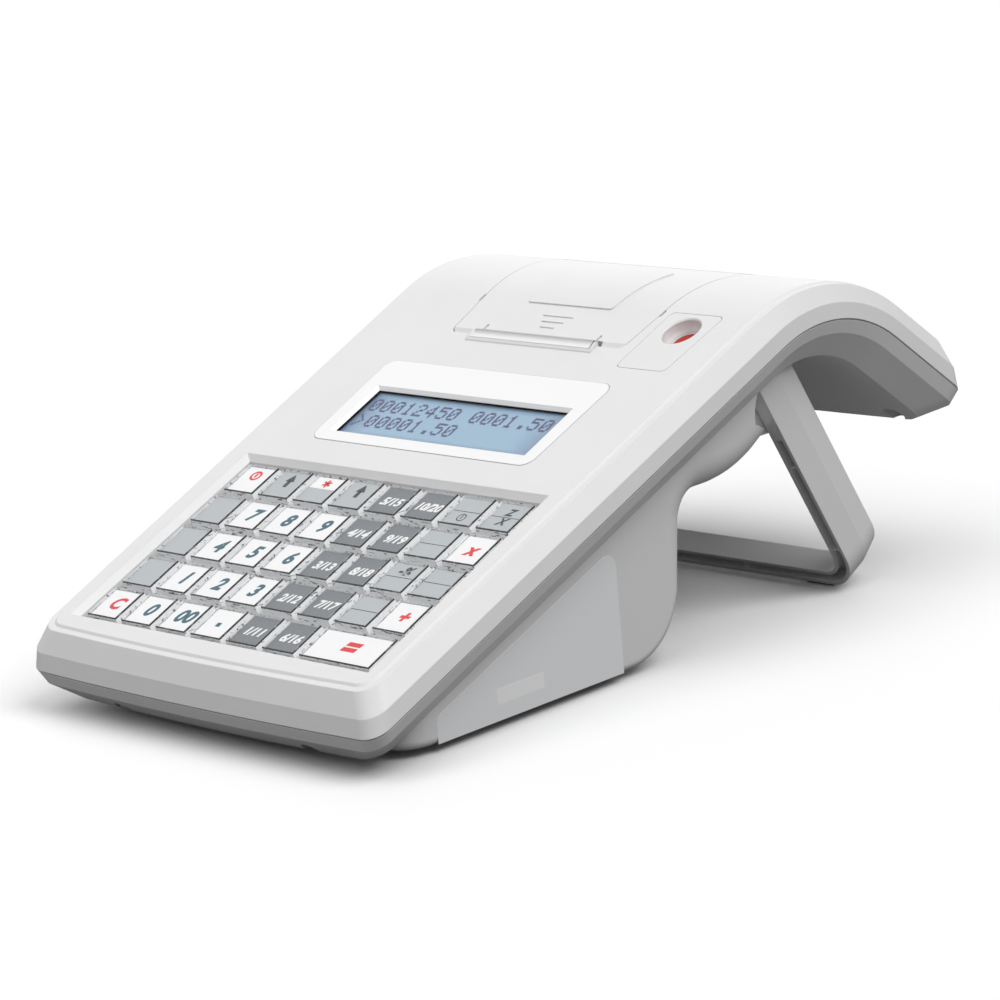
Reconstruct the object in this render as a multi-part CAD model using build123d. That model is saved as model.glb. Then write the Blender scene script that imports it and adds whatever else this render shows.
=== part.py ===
"""Portable ticket register: a sloping tray of keys with a display and a ticket printer, on a wedge base.

Millimetres, +Z up, +Y towards the tail. While a piece is modelled, Y is counted from the top front edge
of the tray; every piece is moved by CENTRE_SHIFT on export, so that the origin lies on the table under
the middle of the register.
"""

import math
import os
from dataclasses import dataclass, replace

from build123d import *

# ---------------------------------------------------------------- driving dimensions: the curved tray
SLOPE = 23.0  # degrees, working face above the table
TAIL_SLOPE = 39.3  # degrees, back slope below the horizontal
EDGE_HEIGHT = 31.1  # top front edge above the table
HUMP_START = 213.7  # from the front edge, along the slope, to where the face starts to bend
HUMP_RADIUS = 71.2  # of the working face over the hump
HALF_WIDTH = 87.2  # of the rim at the front edge
FLARE = 0.0203  # the sides spread by this much per millimetre of slope
BOW = 1.6  # the front and tail edges bulge outwards by this much
WALL = 2.5
SEAM_DEPTH = 12.8  # parting line of the two case halves, below the working face
SEAM_GAP = 0.5

# ---------------------------------------------------------------- driving dimensions: the base
BASE_BOTTOM = 3.2
BASE_HALF = 81.0
BASE_DRAFT = 0.035  # the side walls lean outwards by this much per millimetre of height
BASE_EDGE = 3.0  # rounding of the base's lower side edges
BULGE_EDGE = 12.0  # rounding of the side edges under the hump
BASE_FRONT_CORNER = 12.0
BASE_LOW_WALL = (154.0, 24.7)  # Y and Z where the rounding starts to grow, on the rear wall
BASE_HIGH_WALL = (162.0, 49.3)  # and where it has grown
ROLL_CENTRE = (200.0, 88.5)  # Y and Z of the paper roll
ROLL_RADIUS = 15.5
ROLL_WIDTH = 57.5
CORE_RADIUS = 6.0

# ---------------------------------------------------------------- driving dimensions: keyboard
PITCH_X = 19.05
PITCH_T = 18.5
COLUMNS = 8
ROWS = 5
BOARD_CENTRE = 58.65  # middle of the key field, along the slope
RECESS_HALF = 79.1
RECESS_FRONT = 10.2
RECESS_BACK = 107.1
RECESS_BEVEL = 2.3
KEY_TOP = -1.7
KEY_SKIRT = -8.0
CARD_TOP = -3.5
CARD_THICK = 0.4
PLUNGER_BOTTOM = -8.8
FRAME_TOP = -5.5
FRAME_FLANGE = -9.3
FRAME_BOTTOM = -12.0

# ---------------------------------------------------------------- driving dimensions: displays
BEZEL_FRONT = 119.9
BEZEL_BACK = 168.8
BEZEL_HALF_FRONT = 57.0
BEZEL_HALF_BACK = 58.5
BEZEL_THICK = 1.2
WINDOW_HALF = 49.6
WINDOW_FRONT = 126.8
WINDOW_BACK = 151.9
CUSTOMER_HALF = 36.0
CUSTOMER_FRONT = 5.0  # along the back slope
CUSTOMER_BACK = 24.0
PANE_TOP = -1.5
PANE_BOTTOM = -2.2
GLASS_TOP = -2.3

# ---------------------------------------------------------------- driving dimensions: printer
COVER_FRONT = 189.1
COVER_LIP = ((188.0, -1.77), (191.6, 0.0))  # the cover's front edge slopes down between these
COVER_HALF_FRONT = 44.4
COVER_SPREAD = 0.079  # the cover's sides spread by this much per millimetre of slope
COVER_GAP = 0.35
EXIT_HALF = 33.0
EXIT_EDGE = 191.8  # the cover's edge behind the tear bar
HINGE_ANGLE = 11.0  # degrees past the crest
HINGE_DEPTH = 3.2
HINGE_RELIEF = 3.5  # the case ends this far behind the hinge line, so that the cover can swing up
KNUCKLE_RADIUS = 3.0
PIN_RADIUS = 1.5
RUNNING_GAP = 0.05
PLATEN_T = 195.8
PLATEN_DEPTH = 7.6
PLATEN_RADIUS = 4.2
SHAFT_RADIUS = 1.5
BAR_HALF = 31.0
BAR_THICK = 0.6
BAR_BACK, BAR_ROOT, BAR_TIP = -1.9, -0.8, 2.2  # along the bar: its back edge and its teeth
TOOTH_PITCH = 1.05

# ---------------------------------------------------------------- driving dimensions: stand
STAND_LEAN = 27.7  # degrees from the vertical
STAND_PIVOT = (219.5, 76.4)  # Y and Z of the hinge line
STAND_HALF = 82.0
STAND_BAR = 6.5  # width of the channel section
STAND_DEPTH = 20.0
STAND_STRAIGHT = 10.5  # depth before the section tapers to the rear
STAND_TAPER = 2.0
STAND_RELIEF = (68.0, 11.0)  # between the corners the bar is only this deep
STAND_CORNER = 15.0
STAND_TOP = 19.5
STAND_TOP_CORNER = 2.5
STAND_REACH = 21.1  # from the hinge line to the farthest corner of a leg's head
LEG_INNER = 74.7
LEG_OUTER = 83.0  # edges of the slots that the legs' heads turn in
STAND_FOOT = 80.1
STAND_WALL = 1.5
STUB_RADIUS = 3.0
PAD_X = 60.5
PAD_WIDTH = 13.0
PAD_LENGTH = 7.5
PAD_INSET = 1.0  # from the front edge of the bar
PAD_SEAT = 0.6  # depth of the pad's recess in the bar

# ---------------------------------------------------------------- driving dimensions: feet and screws
FOOT_RADIUS = 5.5
FOOT_SEAT = 0.8  # depth of a foot's recess in the base
FEET = ((62.0, 36.0), (66.0, 122.0))  # x and Y
SCREW_RADIUS = 1.3
HEAD_RADIUS = 3.0
WELL_RADIUS = 4.5  # counterbore of the screws at the edges of the tray
EDGE_SCREW_END = -9.0  # height of their tips, below the face

# ---------------------------------------------------------------- frames worked out from the above
SIN, COS = math.sin(math.radians(SLOPE)), math.cos(math.radians(SLOPE))
FACE = Plane(origin=(0, 0, EDGE_HEIGHT), x_dir=(1, 0, 0), z_dir=(0, -SIN, COS))
HUMP_BEND = SLOPE + TAIL_SLOPE
HUMP_AXIS = FACE.from_local_coords(Vector(0, HUMP_START, -HUMP_RADIUS))
TAIL_NORMAL = Vector(0, math.sin(math.radians(TAIL_SLOPE)), math.cos(math.radians(TAIL_SLOPE)))
TAIL = Plane(origin=HUMP_AXIS + TAIL_NORMAL * HUMP_RADIUS, x_dir=(1, 0, 0), z_dir=TAIL_NORMAL)
HINGE_NORMAL = Vector(0, math.sin(math.radians(HINGE_ANGLE)), math.cos(math.radians(HINGE_ANGLE)))
COVER_HINGE = HUMP_AXIS + HINGE_NORMAL * (HUMP_RADIUS - HINGE_DEPTH)
PLATEN_CENTRE = FACE.from_local_coords(Vector(0, PLATEN_T, -PLATEN_DEPTH))
HUMP_SECTION = Plane(
    origin=FACE.from_local_coords(Vector(0, HUMP_START, 0)),
    x_dir=(1, 0, 0),
    z_dir=-FACE.y_dir,
)
LEAN = math.radians(STAND_LEAN)
STAND = Plane(
    origin=(0, STAND_PIVOT[0], STAND_PIVOT[1]),
    x_dir=(1, 0, 0),
    z_dir=(0, -math.cos(LEAN), -math.sin(LEAN)),
)
CENTRE_SHIFT = Pos(0, -147.63, 0)


@dataclass(frozen=True)
class Level:
    """Outline of the tray at one depth below the working face."""

    depth: float
    side: float  # half width, beyond that of the rim
    front: float  # front edge, along the slope
    tail: float  # tail edge, along the back slope
    corner: float  # radius of the front and tail corners


PLATEAU = [Level(0.0, -3.3, 3.0, 32.5, 6.0), Level(0.7, -2.4, 2.1, 33.3, 6.5)]
RIM = Level(0.7, 0.0, 0.0, 35.5, 8.0)
SHOULDER = Level(7.0, 4.4, -6.0, 43.2, 8.0)
SEAM = Level(SEAM_DEPTH, 5.3, -9.3, 48.2, 8.0)
CHIN = Level(18.2, 2.9, -9.3, 49.5, 8.0)
KEEL = Level(26.8, -6.0, -4.8, 45.0, 9.0)


def between(upper, lower, depth):
    """The outline at a depth between two levels."""
    f = (depth - upper.depth) / (lower.depth - upper.depth)
    mix = lambda a, b: a + (b - a) * f
    return Level(
        depth,
        mix(upper.side, lower.side),
        mix(upper.front, lower.front),
        mix(upper.tail, lower.tail),
        mix(upper.corner, lower.corner),
    )


def inward(level, amount):
    """The same outline, moved in by an amount on every side."""
    return replace(
        level,
        side=level.side - amount,
        front=level.front + amount,
        tail=level.tail - amount,
        corner=max(level.corner - amount, 1.0),
    )


def face_outline(level):
    """Outline on the sloping face, from the front edge to the start of the hump."""
    front_half = HALF_WIDTH + level.side
    hump_half = front_half + FLARE * HUMP_START
    edges = [
        ThreePointArc((-front_half, level.front + BOW), (0, level.front), (front_half, level.front + BOW)),
        Line((front_half, level.front + BOW), (hump_half, HUMP_START)),
        Line((hump_half, HUMP_START), (-hump_half, HUMP_START)),
        Line((-hump_half, HUMP_START), (-front_half, level.front + BOW)),
    ]
    face = make_face(edges)
    return fillet(face.vertices().sort_by(Axis.Y)[:2], level.corner)


def tail_outline(level):
    """Outline on the back slope, from the end of the hump to the tail edge."""
    half = HALF_WIDTH + level.side + FLARE * HUMP_START
    edges = [
        ThreePointArc((-half, level.tail - BOW), (0, level.tail), (half, level.tail - BOW)),
        Line((half, level.tail - BOW), (half, 0)),
        Line((half, 0), (-half, 0)),
        Line((-half, 0), (-half, level.tail - BOW)),
    ]
    face = make_face(edges)
    return fillet(face.vertices().sort_by(Axis.Y)[-2:], level.corner)


def tray(levels):
    """Solid through a stack of levels: sloping face, hump and back slope."""
    half = HALF_WIDTH + FLARE * HUMP_START
    rim = [(half + level.side, -level.depth) for level in levels]
    section = make_face(Polyline(*rim, *[(-x, y) for x, y in reversed(rim)], close=True))
    solid = revolve(HUMP_SECTION * section, Axis(HUMP_AXIS, (-1, 0, 0)), HUMP_BEND)
    for upper, lower in zip(levels, levels[1:]):
        for plane, outline in ((FACE, face_outline), (TAIL, tail_outline)):
            faces = [plane.offset(-level.depth) * outline(level) for level in (upper, lower)]
            solid += loft(faces, ruled=True)
    return solid


def slab(top, bottom, half):
    """Band of even thickness that follows the face and the hump, from the display to the tail."""
    section = HUMP_SECTION * Pos(0, (top + bottom) / 2) * Rectangle(2 * half, top - bottom)
    return extrude(section, 50, dir=-FACE.y_dir) + revolve(section, Axis(HUMP_AXIS, (-1, 0, 0)), HUMP_BEND)


def face_block(x0, x1, t0, t1, n0, n1):
    """Box in the coordinates of the working face."""
    return FACE * Pos((x0 + x1) / 2, (t0 + t1) / 2, (n0 + n1) / 2) * Box(x1 - x0, t1 - t0, n1 - n0)


def face_prism(points, n0, n1, radius=0.0, corners=None):
    """Prism on the working face, with its outline's corners rounded."""
    face = make_face(Polyline(*points, close=True))
    if radius:
        picked = face.vertices() if corners is None else [v for v in face.vertices() if corners(v)]
        face = fillet(picked, radius)
    return extrude(FACE.offset(n0) * face, n1 - n0)


def across_face(points, half):
    """Prism across the register from a side view of (place along the slope, height) points."""
    plane = Plane(origin=FACE.origin - FACE.x_dir * half, x_dir=FACE.y_dir, z_dir=FACE.x_dir)
    return extrude(plane * make_face(Polyline(*points, close=True)), 2 * half)


def side_prism(points, half, radii=()):
    """Prism across the register from a side view of (Y, Z) points; radii rounds points by their index."""
    plane = Plane.YZ.offset(-half)
    line = Polyline(*points, close=True)
    face = make_face(line)
    for index, radius in radii:
        near = lambda v, p=points[index]: math.hypot(v.X - p[0], v.Y - p[1])
        face = fillet(face.vertices().sort_by(near)[:1], radius)
    return extrude(plane * face, 2 * half)


def cross_cylinder(y, z, radius, x0, x1):
    """Cylinder along X."""
    return extrude(Plane.YZ.offset(x0) * Pos(y, z) * Circle(radius), x1 - x0)


def upright(x, y, z0, z1, radius):
    """Cylinder along Z."""
    return Pos(x, y, (z0 + z1) / 2) * Cylinder(radius, z1 - z0)


def twin(piece):
    """The piece and its mirror image on the other side."""
    return piece + mirror(piece, Plane.YZ)


def save(name, shape):
    """Write one node, moved so that the origin is under the middle of the register."""
    export_step(CENTRE_SHIFT * shape, f"parts/{name}.step")


def group(pieces):
    """Separate solids in one node."""
    solids = [solid for piece in pieces for solid in piece.solids()]
    return Compound(children=solids)


# ================================================================ the hollow of the case
upper_skin = inward(between(RIM, SHOULDER, RIM.depth + WALL), WALL)
lower_skin = inward(between(CHIN, KEEL, KEEL.depth - WALL), WALL)
cavity = tray([upper_skin, inward(SHOULDER, WALL), inward(SEAM, WALL), inward(CHIN, WALL), lower_skin])


def base_profile(inset):
    """Side view of the wedge base and of the paper bulge behind it."""
    low = BASE_BOTTOM + inset
    top_front = FACE.from_local_coords(Vector(0, 14 + inset, -22 + inset))
    top_back = FACE.from_local_coords(Vector(0, HUMP_START, -22 + inset))
    return [
        (20 + inset, low),
        (147 - inset, low),
        (164.5 - inset, 57.1 + inset),
        (193.1 - inset * 0.3, 57.1 + inset),
        (217.1 - inset, 75.1 + inset * 0.6),
        (223 - inset, 94 + inset),
        (top_back.Y, top_back.Z),
        (top_front.Y, top_front.Z),
    ]


def base_radii(inset):
    """Radii of the side view's corners, by their place in the profile."""
    return ((1, 25.0 - inset), (2, 9.0 + inset), (3, 51.4 - inset), (4, 15.0 - inset))


def wedge(inset, low, high):
    """Base solid with leaning sides, its side edges rounded by low on the table and by high at the hump."""
    profile = side_prism(base_profile(inset), BASE_HALF + 8, base_radii(inset))
    foot, head = BASE_HALF - inset, BASE_HALF - inset + BASE_DRAFT * 110
    leaning = make_face(Polyline((-foot, 0), (foot, 0), (head, 110), (-head, 110), close=True))
    solid = profile & extrude(Plane.XZ.offset(-240) * leaning, 240)
    front = [e for e in side_edges(solid) if e.center().Y < 25 and abs(e.tangent_at(0.5).Z) > 0.9]
    solid = fillet(front, BASE_FRONT_CORNER - inset)

    run = (Vector(0, *BASE_HIGH_WALL) - Vector(0, *BASE_LOW_WALL)).normalized()
    walls = (BASE_LOW_WALL, BASE_HIGH_WALL)
    planes = [Plane(origin=(0, *spot), x_dir=(1, 0, 0), z_dir=run) for spot in walls]
    below = solid.split(planes[0], keep=Keep.BOTTOM)
    above = solid.split(planes[1], keep=Keep.TOP)
    below = fillet([e for e in side_edges(below) if e.center().Y > 60 and e.center().Z < 24], low)
    rear = [e for e in side_edges(above) if e.center().Y > 160 and e.center().Z < 90]
    above = fillet([e for e in rear if e.center().Z < 73 or e.center().Y > 212], high)
    ends = [cut_face(below, planes[0]), cut_face(above, planes[1])]
    return below + loft(ends, ruled=True) + above


def cut_face(solid, plane):
    """The face that a cut by a plane left on a solid."""
    return solid.faces().sort_by(lambda face: abs(plane.to_local_coords(face.center()).Z))[0]


def side_edges(solid):
    """Edges that lie in the base's side walls."""
    return [edge for edge in solid.edges() if abs(edge.center().X) > BASE_HALF - 12]


def stand_outline(outset, corner):
    """U of the stand in its own plane, open at the top; outset moves its edge out."""
    half, foot = STAND_HALF + outset, STAND_FOOT + outset
    face = make_face(Polyline((-half, 40), (-half, -foot), (half, -foot), (half, 40), close=True))
    return fillet(face.vertices().sort_by(Axis.Y)[:2], corner)


def stand_ring(outset, front, back, corner):
    """Straight part of the stand's outline, between two depths behind its front face."""
    return extrude(STAND.offset(STAND_DEPTH / 2 - back) * stand_outline(outset, corner), back - front)


def stand_taper(outset_front, outset_back, corner):
    """The outline where it tapers, from the straight part to the rear edge."""
    half = STAND_DEPTH / 2
    front = STAND.offset(half - STAND_STRAIGHT) * stand_outline(outset_front, corner + outset_front)
    back = STAND.offset(-half) * stand_outline(outset_back, corner + outset_back)
    return loft([front, back], ruled=True)


def leg_sweep(gap, x0, x1):
    """Space that a leg's head sweeps between open and folded, grown by a gap."""
    reach = STAND_REACH + gap
    back, top, front = (pivot_spot(angle, reach) for angle in (86, 135, 184))
    below = pivot_spot(-45.6, 32.5 + 2 * gap)
    edges = [ThreePointArc(back, top, front), Line(front, below), Line(below, back)]
    return extrude(Plane.YZ.offset(x0) * make_face(edges), x1 - x0)


def pivot_spot(angle, radius):
    """Y and Z at an angle round the stand's hinge line, from the rear over the top."""
    y, z = STAND_PIVOT
    return y + radius * math.cos(math.radians(angle)), z + radius * math.sin(math.radians(angle))


# ================================================================ case halves
def key_centre(row, column, width=1):
    """Middle of a key on the working face; row 0 is the rear row and width counts pitches."""
    x = (column + width / 2 - COLUMNS / 2) * PITCH_X
    t = BOARD_CENTRE + ((ROWS - 1) / 2 - row) * PITCH_T
    return x, t


BEZEL_OUTLINE = [
    (-BEZEL_HALF_FRONT, BEZEL_FRONT),
    (BEZEL_HALF_FRONT, BEZEL_FRONT),
    (BEZEL_HALF_BACK, BEZEL_BACK),
    (-BEZEL_HALF_BACK, BEZEL_BACK),
]
PANEL_OUTLINE = [(50.1, 178.6), (73.8, 178.6), (76.0, 212.0), (50.7, 212.0)]
SEAL_SPOT = (63.0, 202.0)
SEAL_RADIUS = 7.5
SEAL_DEPTH = 4.8
BASE_SCREW = (44.0, 109.0, 42.0)  # x, Y and the height where the halves meet
EDGE_SCREWS = ((FACE, 49.8, -2.0), (TAIL, 73.0, 40.3))  # plane, x and place along it


def grown(points, amount):
    """The same outline, moved out by an amount from its own middle."""
    x_mid = sum(x for x, _ in points) / len(points)
    t_mid = sum(t for _, t in points) / len(points)
    return [
        (x + (amount if x > x_mid else -amount), t + (amount if t > t_mid else -amount)) for x, t in points
    ]


def printer_outline(gap):
    """Plan of the opening for the printer cover, larger than the cover by the gap."""
    front, half = COVER_FRONT - gap, COVER_HALF_FRONT + gap
    back = COVER_FRONT + 75
    spread = half + COVER_SPREAD * 75
    return [(-half, front), (half, front), (spread, back), (-spread, back)]


def behind_hinge(gap):
    """Everything behind the cover's hinge line."""
    plane = Plane(origin=COVER_HINGE, x_dir=(1, 0, 0), z_dir=HINGE_NORMAL)
    return plane * Pos(0, 50 + gap, 0) * Box(240, 100, 60)


def knuckle(radius, half):
    """Cylinder on the cover's hinge line."""
    return cross_cylinder(COVER_HINGE.Y, COVER_HINGE.Z, radius, -half, half)


def make_upper_case():
    """Upper half: plateau, key recess, display and printer openings, tear-bar lip and seal well."""
    case = tray([RIM, SHOULDER, SEAM]) + tray(PLATEAU) - cavity

    half, front, back = RECESS_HALF, RECESS_FRONT, RECESS_BACK
    throat = [
        (-half + RECESS_BEVEL, front + RECESS_BEVEL),
        (half - RECESS_BEVEL, front + RECESS_BEVEL),
        (half - RECESS_BEVEL, back - RECESS_BEVEL),
        (-half + RECESS_BEVEL, back - RECESS_BEVEL),
    ]
    collar = face_prism(grown(throat, 1.5), FRAME_FLANGE + 0.1, -1.5, 1.5)
    bevel = loft(
        [
            FACE.offset(0.01) * make_face(Polyline(*grown(throat, RECESS_BEVEL), close=True)),
            FACE.offset(-RECESS_BEVEL) * make_face(Polyline(*throat, close=True)),
        ],
        ruled=True,
    )
    case = case + (collar & (cavity + tray(PLATEAU))) - bevel - face_prism(throat, -30, 1)

    case -= face_prism(BEZEL_OUTLINE, -BEZEL_THICK, 1, 5.0)
    case -= face_block(-53, 53, WINDOW_FRONT - 2.5, WINDOW_BACK + 2.5, -20, 1)

    opening = slab(2, -6, 80) & face_prism(printer_outline(COVER_GAP), -60, 12, 3.5, outer_front_corner)
    opening -= behind_hinge(HINGE_RELIEF)
    ears = cross_cylinder(COVER_HINGE.Y, COVER_HINGE.Z, 4.0, 50.6, 55.5)
    ears += cross_cylinder(COVER_HINGE.Y, COVER_HINGE.Z, 4.0, -55.5, -50.6)
    case = case - opening + (ears & cavity)
    case -= knuckle(KNUCKLE_RADIUS + 0.3, 50.3)
    case -= knuckle(PIN_RADIUS + RUNNING_GAP, 54.5)
    for side in (-1, 1):
        case -= face_block(side * 46.2 - 1.2, side * 46.2 + 1.2, 208.8, 212.6, -2, 1)

    lip = [(184.2, -0.4), (184.8, 0.4), (186.0, 0.9), (189.3, 1.5), (189.3, -2.4), (184.2, -2.4)]
    case += across_face(lip, EXIT_HALF - COVER_GAP)
    seat_back = BAR_BACK - 0.05
    case -= tear_plane() * Pos(0, seat_back + 2.5, 0) * Box(2 * BAR_HALF + 0.2, 5.0, BAR_THICK)

    case -= face_prism(grown(PANEL_OUTLINE, 0.2), -1.4, 1, 2.5)
    well = FACE * Pos(*SEAL_SPOT, -SEAL_DEPTH / 2 - 2.2) * Cylinder(SEAL_RADIUS + 1.6, SEAL_DEPTH + 2)
    case += well & cavity
    case -= FACE * Pos(*SEAL_SPOT, -SEAL_DEPTH / 2 - 1) * Cylinder(SEAL_RADIUS, SEAL_DEPTH + 2)

    case -= customer_prism(0.2, -1.0, 1, 2.2)
    case -= customer_prism(-2.0, -12, 1, 0)

    x, y, meet = BASE_SCREW
    case += twin(upright(x, y, meet, 120, 3.2)) & cavity
    case -= twin(upright(x, y, meet - 1, meet + 14, SCREW_RADIUS))
    for screw in EDGE_SCREWS:
        case += twin(edge_post(screw, -SEAM_DEPTH, -2, 3.2)) & cavity
        case -= twin(edge_post(screw, -SEAM_DEPTH - 1, EDGE_SCREW_END + 0.8, SCREW_RADIUS))
    return case


def edge_post(screw, n0, n1, radius):
    """Cylinder on the axis of one of the screws at the tray's edges, between two heights."""
    plane, x, along = screw
    return plane * Pos(x, along, (n0 + n1) / 2) * Cylinder(radius, n1 - n0)


def outer_front_corner(vertex):
    """True at the two outer front corners of the printer cover's plan."""
    return abs(vertex.X) > 40 and vertex.Y < COVER_FRONT + 2


def customer_prism(grow, n0, n1, radius):
    """Block on the back slope, behind which the customer's display sits."""
    half, front, back = CUSTOMER_HALF + grow, CUSTOMER_FRONT - grow, CUSTOMER_BACK + grow
    face = Pos(0, (front + back) / 2) * Rectangle(2 * half, back - front)
    if radius:
        face = fillet(face.vertices(), radius)
    return extrude(TAIL.offset(n0) * face, n1 - n0)


def make_lower_case():
    """Lower half: tray underside, wedge base, paper bulge, roll bucket, hinge lugs and foot bosses."""
    shell = tray([SEAM, CHIN, KEEL]) + wedge(0, BASE_EDGE, BULGE_EDGE)
    case = shell - cavity - wedge(WALL, BASE_EDGE - WALL + 0.3, BULGE_EDGE - WALL)

    seam = (replace(SEAM, depth=SEAM_DEPTH - SEAM_GAP), between(SEAM, CHIN, SEAM_DEPTH + SEAM_GAP))
    outside, groove_floor = (tray([inward(level, amount) for level in seam]) for amount in (-3.0, 1.1))
    case -= outside - groove_floor

    y, z = ROLL_CENTRE
    bucket = cross_cylinder(y, z, ROLL_RADIUS + 2.8, -ROLL_WIDTH / 2 - 2.6, ROLL_WIDTH / 2 + 2.6)
    bucket -= cross_cylinder(y, z, ROLL_RADIUS + 1.1, -ROLL_WIDTH / 2 - 0.8, ROLL_WIDTH / 2 + 0.8)
    bucket -= face_block(-60, 60, 150, 260, -15, 20)
    case += bucket

    case += twin(leg_sweep(2.1, LEG_INNER - 1.6, LEG_OUTER + 1.6)) & shell
    underside = tray([between(CHIN, KEEL, 19.0), KEEL])
    case -= twin(leg_sweep(0.5, LEG_INNER, 95)) - underside
    case -= twin(leg_sweep(0.5, LEG_INNER, LEG_OUTER))
    y, z = STAND_PIVOT
    profile = [(y - 15, z - 9), (y + 9, z - 9), (y + 9, z + 24), (y - 15, z + 24)]
    lug = side_prism(profile, 75.0, ((0, 5.0), (1, 8.9))) & Pos(70.5, 0, 0) * Box(9, 800, 800)
    case += twin(lug) & (shell + under_hump())
    case -= twin(cross_cylinder(y, z, STUB_RADIUS + RUNNING_GAP, 69.8, 76))

    for x, y in FEET:
        case -= twin(upright(x, y, 0, BASE_BOTTOM + FOOT_SEAT, FOOT_RADIUS))

    x, y, meet = BASE_SCREW
    case += twin(upright(x, y, 0, meet, 4.8)) & shell
    case -= twin(upright(x, y, 0, meet - 3, 3.4)) + twin(upright(x, y, 0, meet + 1, SCREW_RADIUS))
    for screw in EDGE_SCREWS:
        case += twin(edge_post(screw, -30, -SEAM_DEPTH, WELL_RADIUS + 1.3)) & shell
        case -= twin(edge_post(screw, -34, -18.5, WELL_RADIUS))
        case -= twin(edge_post(screw, -34, -10, SCREW_RADIUS))
    return case


def under_hump():
    """Space just below the tray's underside, where the stand's hinge lugs hang."""
    y, z = STAND_PIVOT
    return side_prism([(y - 16, z - 10), (y + 10, z - 10), (y + 10, 94.6), (y - 16, 92.0)], 90)


def make_battery():
    """Battery pack standing in the wedge base."""
    pack = side_prism([(84, 6), (126, 6), (126, 40), (84, 40)], 34)
    return fillet(pack.edges().filter_by(Axis.X), 2.0)


# ================================================================ keyboard
COMPONENTS = (  # on the main board: x, place along the slope, width, depth and height
    (-20.0, 146.0, 16.0, 16.0, 1.6),
    (20.0, 136.0, 22.0, 12.0, 2.2),
    (-58.0, 124.0, 12.0, 18.0, 6.0),
    (52.0, 155.0, 14.0, 9.0, 7.0),
)


def make_key_frame():
    """Lattice between the keys, on a flange that carries it under the recess."""
    inside = RECESS_HALF - RECESS_BEVEL - 0.35
    front, back = RECESS_FRONT + RECESS_BEVEL + 0.35, RECESS_BACK - RECESS_BEVEL - 0.35
    frame = face_block(-inside, inside, front, back, FRAME_BOTTOM, FRAME_TOP)
    frame += face_block(-inside - 1.8, inside + 1.8, front - 1.8, back + 1.8, FRAME_BOTTOM, FRAME_FLANGE)
    for row, column, width in key_places():
        x, t = key_centre(row, column, width)
        half_x, half_t = width * PITCH_X / 2 - 0.57, PITCH_T / 2 - 0.57
        frame -= face_block(x - half_x, x + half_x, t - half_t, t + half_t, FRAME_BOTTOM - 1, 1)
    return frame


def key_places():
    """Row, column and width in pitches of every key; the front row ends in one double key."""
    for row in range(ROWS):
        singles = COLUMNS if row < ROWS - 1 else COLUMNS - 2
        for column in range(singles):
            yield row, column, 1
    yield ROWS - 1, COLUMNS - 2, 2


def make_key(row, column, width):
    """Clear cap over a legend card on a plunger with a hollow for the rubber dome."""
    x, t = key_centre(row, column, width)
    skirt = (width * PITCH_X - 1.75, PITCH_T - 1.75)
    top = (width * PITCH_X - 3.45, PITCH_T - 3.3)
    pocket = (width * PITCH_X - 4.85, PITCH_T - 4.6)
    spot = FACE * Pos(x, t)
    faces = [spot * Pos(0, 0, KEY_SKIRT) * Rectangle(*skirt), spot * Pos(0, 0, KEY_TOP) * Rectangle(*top)]
    cap = loft(faces)
    cap -= spot * Pos(0, 0, (KEY_SKIRT + CARD_TOP) / 2 - 1) * Box(*pocket, CARD_TOP - KEY_SKIRT + 2)
    card = spot * Pos(0, 0, CARD_TOP - CARD_THICK / 2) * Box(pocket[0] - 0.1, pocket[1] - 0.1, CARD_THICK)
    plunger_top = CARD_TOP - CARD_THICK
    plunger = Box(pocket[0] - 0.3, pocket[1] - 0.3, plunger_top - PLUNGER_BOTTOM)
    plunger = spot * Pos(0, 0, (plunger_top + PLUNGER_BOTTOM) / 2) * plunger
    plunger -= spot * Pos(0, 0, PLUNGER_BOTTOM + 0.75) * Box(width * PITCH_X - 10, 8.4, 1.5)
    return group([cap, card, plunger])


def make_key_mat():
    """Rubber mat with one dome under each key."""
    mat = face_block(-78, 78, 11.4, 105.9, -13.4, FRAME_BOTTOM - 0.1)
    dome = loft([RegularPolygon(3.4, 8), Pos(0, 0, 1.9) * RegularPolygon(2.0, 8)], ruled=True)
    for row, column, width in key_places():
        mat += FACE * Pos(*key_centre(row, column, width), FRAME_BOTTOM - 0.15) * dome
    return mat


def make_circuit_boards():
    """Key board under the mat and the main board beside the paper roll."""
    key_board = face_block(-78, 78, 11.4, 105.9, -15.1, -13.5)
    main_board = face_block(-80, 80, 108.6, 165.0, -20.6, -19.0)
    main_board -= twin(upright(*BASE_SCREW[:2], 0, 120, 5.2))
    parts = [key_board, main_board]
    for x, t, wide, deep, high in COMPONENTS:
        parts.append(face_block(x - wide / 2, x + wide / 2, t - deep / 2, t + deep / 2, -19.0, -19.0 + high))
    return group(parts)


# ================================================================ displays
def make_display_bezel():
    """Glossy frame round the operator's display, with a bevelled window opening."""
    bezel = face_prism(grown(BEZEL_OUTLINE, -0.2), -BEZEL_THICK, 0.15, 4.8)
    corners = [(-WINDOW_HALF, WINDOW_FRONT), (WINDOW_HALF, WINDOW_FRONT), (WINDOW_HALF, WINDOW_BACK)]
    corners.append((-WINDOW_HALF, WINDOW_BACK))
    bevel = [
        FACE.offset(0.16) * make_face(Polyline(*grown(corners, 1.4), close=True)),
        FACE.offset(-BEZEL_THICK) * make_face(Polyline(*corners, close=True)),
    ]
    return bezel - loft(bevel, ruled=True)


def make_display_windows():
    """Clear windows: one under the operator's bezel, one flush in the back slope."""
    return group([operator_pane(0), customer_prism(0, -1.0, 0.1, 2.0)])


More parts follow.
